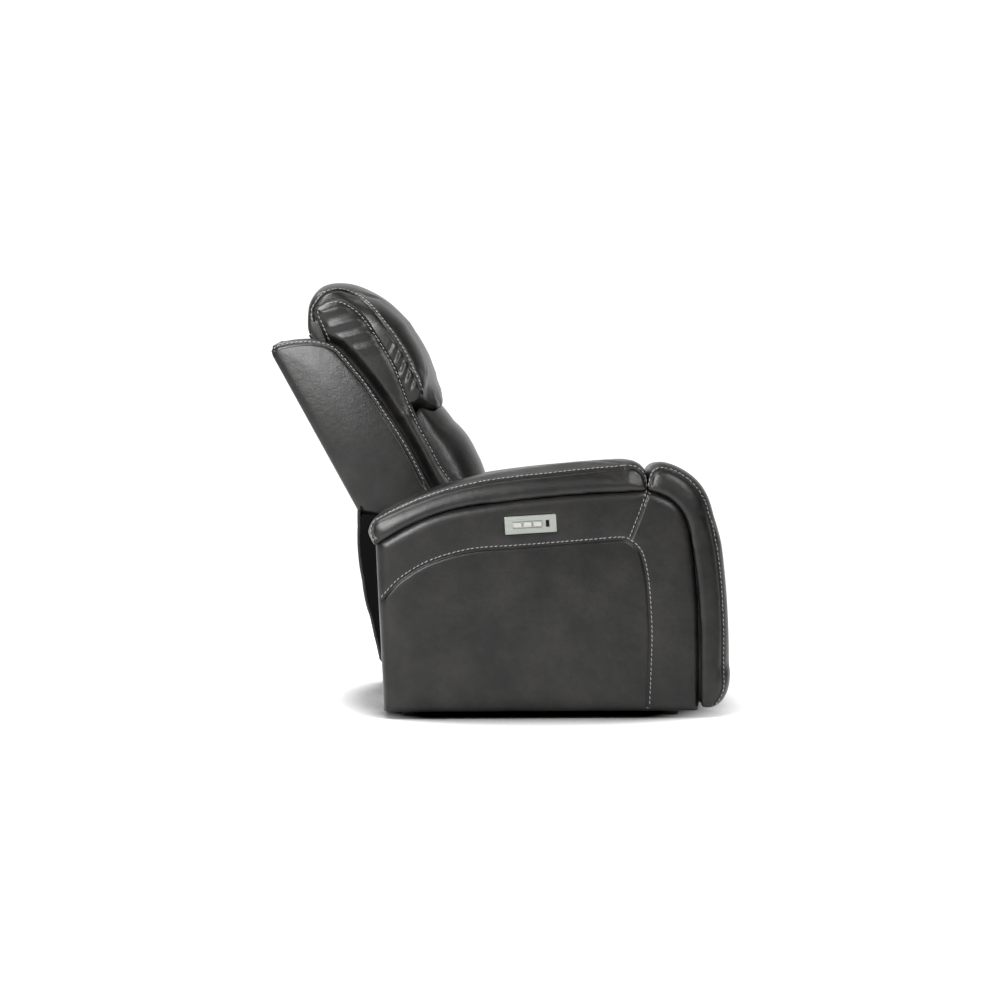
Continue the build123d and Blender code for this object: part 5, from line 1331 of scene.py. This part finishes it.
tongue_right = cut_slab("side_panel_right", TONGUE_OUTLINE, -TONGUE_INNER, -TONGUE_OUTER)
even_skin(tongue_right, TONGUE_VOXEL, rounds=3)
points = points_of(tongue_right)
forward, upward = back_reading(points)
past = past_wing(points)
edge_line = smooth_line([(x, 0, z) for x, z in TONGUE_OUTLINE + TONGUE_OUTLINE[:1]])
from_edge = distance_to([[(p, None) for p in edge_line]], points * np.array([1, 0, 1]))
swell = TONGUE_SWELL * steps(*SWELL_FROM, past) * (1 - np.exp(-from_edge / SWELL_REACH))
for height, size in WRINKLES:
    from_ridge = upward + WRINKLE_SLANT * (forward - WRINKLE_MIDDLE) - height
    ridge = np.exp(-((from_ridge / WRINKLE_WIDTH) ** 2))
    swell += size * ridge * steps(*WRINKLE_PAST, past) * steps(*WRINKLE_EDGE, from_edge)
swell -= TONGUE_EDGE * np.exp(-((from_edge / EDGE_WIDTH) ** 2))
points[:, 1] -= swell * steps(TONGUE_INNER + TONGUE_SKIN, TONGUE_OUTER - TONGUE_SKIN, -points[:, 1])
set_points(tongue_right, points)
finer_skin(tongue_right)
print("side panel swells by up to", round(swell.max() * 1000, 1), "mm")

# %% Side panels
TONGUE_SEAM = on_back(
    (228, -68), (223, -35), (218, 3), (219, 54), (219, 100), (220, 146), (224, 186), (231, 228),
    (236, 271), (236, 313), (234, 360), (227, 415), (217, 446), (196, 477), (166, 487), (144, 485),
    (136, 474), (133, 443), (129, 404))
VALLEY_PAINTED_SHADE, SHADE_PAST = 0.9, (0.006, 0.026)
(LOW_X, LOW_Z), (HIGH_X, HIGH_Z) = on_back((200, 120), (200, 300))


def across_hinge(piece):
    """Bends a piece between the back and the head cushion."""
    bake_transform(piece, "back", "headrest", start=(LOW_X, 0, LOW_Z), end=(HIGH_X, 0, HIGH_Z))


# Painted shade: the side panel's colour is darkened behind the front edge of the wing, in the valley between
# them.
painted_valley_shade = VALLEY_PAINTED_SHADE * (1 - steps(*SHADE_PAST, past_wing(points_of(tongue_right))))
painted_shade_mark(tongue_right).data.foreach_set("value", painted_valley_shade.astype(np.float32))
tongue_row = laid_from_side(tongue_right, TONGUE_SEAM, SIDES["right"])
for panel in (tongue_right, mirrored(tongue_right, "side_panel_left")):
    dress(panel)
    across_hinge(panel)
across_hinge(stitch_mesh("stitches_panel_right", tongue_row))
across_hinge(stitch_mesh("stitches_panel_left", swapped(tongue_row)))

# %% [markdown]
# ## Lip behind the seat
# Leather runs on from the lumbar cushion down behind the seat, so that no gap shows between them. It
# is part of a cylinder round the hinge of the back, so it slides along itself as the back reclines.

# %% Lip behind the seat
RECLINE_HINGE = Vector((-0.110, 0.0, 0.365))
LIP_RADII = (0.1405, 0.1435)
LIP_ANGLES = (12.5, 60.0)
LIP_POINTS = 14
LIP_HALF = 0.224


def arc(radius, first, last):
    """(x, z) points on a circle round the recline hinge, by angles in degrees."""
    angles = [math.radians(first + (last - first) * i / (LIP_POINTS - 1)) for i in range(LIP_POINTS)]
    return [(RECLINE_HINGE.x + radius * math.cos(a), RECLINE_HINGE.z + radius * math.sin(a)) for a in angles]


lip_outline = arc(LIP_RADII[1], *LIP_ANGLES) + arc(LIP_RADII[0], *LIP_ANGLES[::-1])
lip = cut_slab("lip_leather", lip_outline, -LIP_HALF, LIP_HALF)
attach(lip, "back")
dress(lip)

# %% [markdown]
# ## Seat and footrest
# The seat is one thick cushion with a rolled nose, and the footrest is a flat padded board that hangs
# in front of it. Their sides stay between the arms, so the foam is copied narrower before the
# pressure. Two seams run from the back of the seat over its nose, and on down the footrest.

# %% Two seams from back to front
SEAM_SIDES = (-0.15, 0.15)
SEAM_ROW_GAP = 0.007
SEAM_WIDTH = 0.005
LYING = -0.4


def sewn_twice(piece, seam, depth):
    """Sews a seam on each side of the middle, and gives the stitched rows outside them."""
    folds = [laid_on(piece, [(x, y, z) for x, z in seam]) for y in SEAM_SIDES]
    sew(piece, folds, depth, SEAM_WIDTH)
    return [beside(piece, folds[0], -SEAM_ROW_GAP), beside(piece, folds[1], SEAM_ROW_GAP)]


# %% Seat cushion
SEAT_WIDTH, SEAT_SLIM, SEAT_MOST = (-0.296, 0.296), (-0.286, 0.286), 0.2965
SEAT_VOXEL, SEAT_CAP = 0.008, 0.020
HOLLOW = 0.152
SEAT_SEAM = mm((60, 460), (150, 474), (250, 490), (350, 487), (432, 480), (470, 462), (490, 440), (500, 410))
SEAT_FOLD = 0.005

seat = foam_copy("seat_cushion", "cushion_seat")
slimmed(seat, SEAT_WIDTH, SEAT_SLIM)
even_skin(seat, SEAT_VOXEL, rounds=6)
from_recline = points_of(seat) - np.array(RECLINE_HINGE)
rear_hollow = np.hypot(from_recline[:, 0], from_recline[:, 2]) < HOLLOW
pressed_out(seat, rear_hollow | (normals_of(seat)[:, 2] < LYING), SEAT_CAP)
finer_skin(seat)
points = points_of(seat)
points[:, 1] = np.clip(points[:, 1], -SEAT_MOST, SEAT_MOST)
set_points(seat, points)
seat_rows = sewn_twice(seat, SEAT_SEAM, SEAT_FOLD)
upholster(seat, "seat", node="seat_cushion")
stitching("stitches_seat", "seat", *seat_rows)

# %% Footrest pad
FOOT_WIDTH, FOOT_SLIM = (-0.288, 0.288), (-0.282, 0.282)
FOOT_VOXEL, FOOT_CAP = 0.007, 0.014
FOOT_SEAM = mm((470, 345), (492, 320), (500, 260), (500, 200), (500, 140), (492, 92), (470, 66))
FOOT_FOLD = 0.004

foot = foam_copy("footrest_pad", "pad_footrest")
slimmed(foot, FOOT_WIDTH, FOOT_SLIM)
even_skin(foot, FOOT_VOXEL, rounds=5)
pressed_out(foot, normals_of(foot)[:, 0] < LYING, FOOT_CAP)
finer_skin(foot)
foot_rows = sewn_twice(foot, FOOT_SEAM, FOOT_FOLD)
upholster(foot, "footrest", node="footrest_pad")
stitching("stitches_footrest", "footrest", *foot_rows)

# %% [markdown]
# ## Back panel and flap
# A plain leather panel closes the rear of the back, and a flap hangs below it, to hide the mechanism.
# Both are thin boards under leather, so they keep their CAD shape with softer edges. The panel also
# has a slight swell and a stitched hem, and the flap is drawn in a little as it hangs.

# %% Back panel
PANEL_VOXEL = 0.005
PANEL_REAR = -4
PANEL_HEM = [(-0.222, 20), (-0.222, 240), (-0.222, 440), (0.0, 440), (0.222, 440), (0.222, 240), (0.222, 20)]
PANEL_SWELL, PANEL_REACH = 0.004, 0.05
HEM_FOLD, HEM_FOLD_WIDTH = 0.0015, 0.003

panel = foam_copy("back_panel", "panel_back")
even_skin(panel, PANEL_VOXEL, rounds=3)
hem = []
for (y1, t1), (y2, t2) in zip(PANEL_HEM, PANEL_HEM[1:]):
    (x1, z1), (x2, z2) = on_back((PANEL_REAR, t1), (PANEL_REAR, t2))
    hem.append(laid_on(panel, [(x1, y1, z1), (x2, y2, z2)]))
pillow(panel, hem, PANEL_SWELL, PANEL_REACH, -np.array(FORWARD))
sew(panel, hem, HEM_FOLD, HEM_FOLD_WIDTH)
upholster(panel, "back", node="back_panel")
stitching("stitches_back", "back", *hem)

# %% Flap
FLAP_VOXEL = 0.004
FLAP_UP = [0.118, 0.181, 0.249, 0.317, 0.395, 0.450, 0.482, 0.495]
FLAP_IN = [0.008, 0.006, 0.007, 0.013, 0.0100, 0.007, 0.002, 0.0]
FLAP_WIDER = 1.019

flap = foam_copy("back_flap", "flap_leather")
even_skin(flap, FLAP_VOXEL, rounds=3)
points = points_of(flap)
points[:, 0] += np.interp(points[:, 2], FLAP_UP, FLAP_IN)
points[:, 1] *= FLAP_WIDER
set_points(flap, points)
upholster(flap, "flap", node="back_flap")

# %% [markdown]
# ## Black cloth
# Thin black cloth closes what would be seen through: the ends of the flap, and the gaps under the
# wings. Each piece is stretched flat, so it is a thin slab.

# %% Black cloth in the flap and under the wings
# These panels are black cloth and painted shade at once: they close the gaps, and their near-black stands
# for the shade inside them.
RETURN_OUTLINE = mm(
    (-285, 476), (-318, 478), (-324, 449), (-324, 395), (-316, 317), (-304, 249), (-288, 181),
    (-276, 124), (-252, 124), (-256, 229), (-260, 395), (-264, 450))
GUSSET_OUTLINE = mm((-314, 487), (-150, 442), (-150, 402), (-296, 428))
CLOTHS = [
    ("flap_return_", RETURN_OUTLINE, 0.2895, 0.2925, "flap"),
    ("back_gusset_", GUSSET_OUTLINE, 0.262, 0.265, "back"),
]


def cloth_panel(name, outline, inner, outer, body):
    """A thin panel of black cloth, stretched flat."""
    panel = cut_slab(name, outline, inner, outer)
    panel.data.materials.append(dust_cloth_as_shade)
    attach(panel, body)


for name, outline, inner, outer, body in CLOTHS:
    for label, side in SIDES.items():
        cloth_panel(name + label, outline, side * inner, side * outer, body)

# %% [markdown]
# ## Control surround
# The buttons sit in a shallow frame, whose recess shade is painted as two thin black lines with short
# bars between the buttons. Each line is a small bevelled box on the face of the plate.

# %% Control surround
PLATE_FACE = 0.4832
ROW_MIDDLE = -0.0072
BAR_DEPTH = 0.0008
BAR_BEVEL = 0.0002
LINE_PLACES, LINE_SIZE = (0.0078, -0.0078), (0.0705, 0.0010)
BAR_PLACES, BAR_SIZE = (-0.0127, -0.0105, 0.0108, 0.0130, 0.0345), (0.0008, 0.0100)
BARS = [(0.0, z, *LINE_SIZE) for z in LINE_PLACES] + [(x, 0.0, *BAR_SIZE) for x in BAR_PLACES]


def control_point(x, z):
    """A place on the control plate, as (x, z) in the chair's frame."""
    c, s = math.cos(CONTROL_TILT), math.sin(CONTROL_TILT)
    return CONTROL_PLACE.x + c * x - s * z, CONTROL_PLACE.z + s * x + c * z


bars = []
for x, z, width, height in BARS:
    bar_x, bar_z = control_point(x + ROW_MIDDLE, z)
    bpy.ops.object.select_all(action="DESELECT")
    bpy.ops.mesh.primitive_cube_add(size=1, location=(bar_x, -PLATE_FACE, bar_z))
    bar = bpy.context.object
    bar.scale = (width, BAR_DEPTH, height)
    bar.rotation_euler = (0, -CONTROL_TILT, 0)
    bpy.ops.object.transform_apply(location=True, rotation=True, scale=True)
    bars.append(bar)
pick(bars[0])
for bar in bars:
    bar.select_set(True)
bpy.ops.object.join()
surround = bpy.context.object
surround.name = "control_recess_shade"
bpy.ops.object.mode_set(mode="EDIT")
bpy.ops.mesh.select_all(action="SELECT")
bpy.ops.mesh.bevel(offset=BAR_BEVEL, segments=2, affect="EDGES")
bpy.ops.object.mode_set(mode="OBJECT")
# Painted shade: black plastic draws the shade of the frame's recess round the buttons.
surround.data.materials.append(black_plastic)
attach(surround, "base")
print("bars round the buttons:", len(BARS))
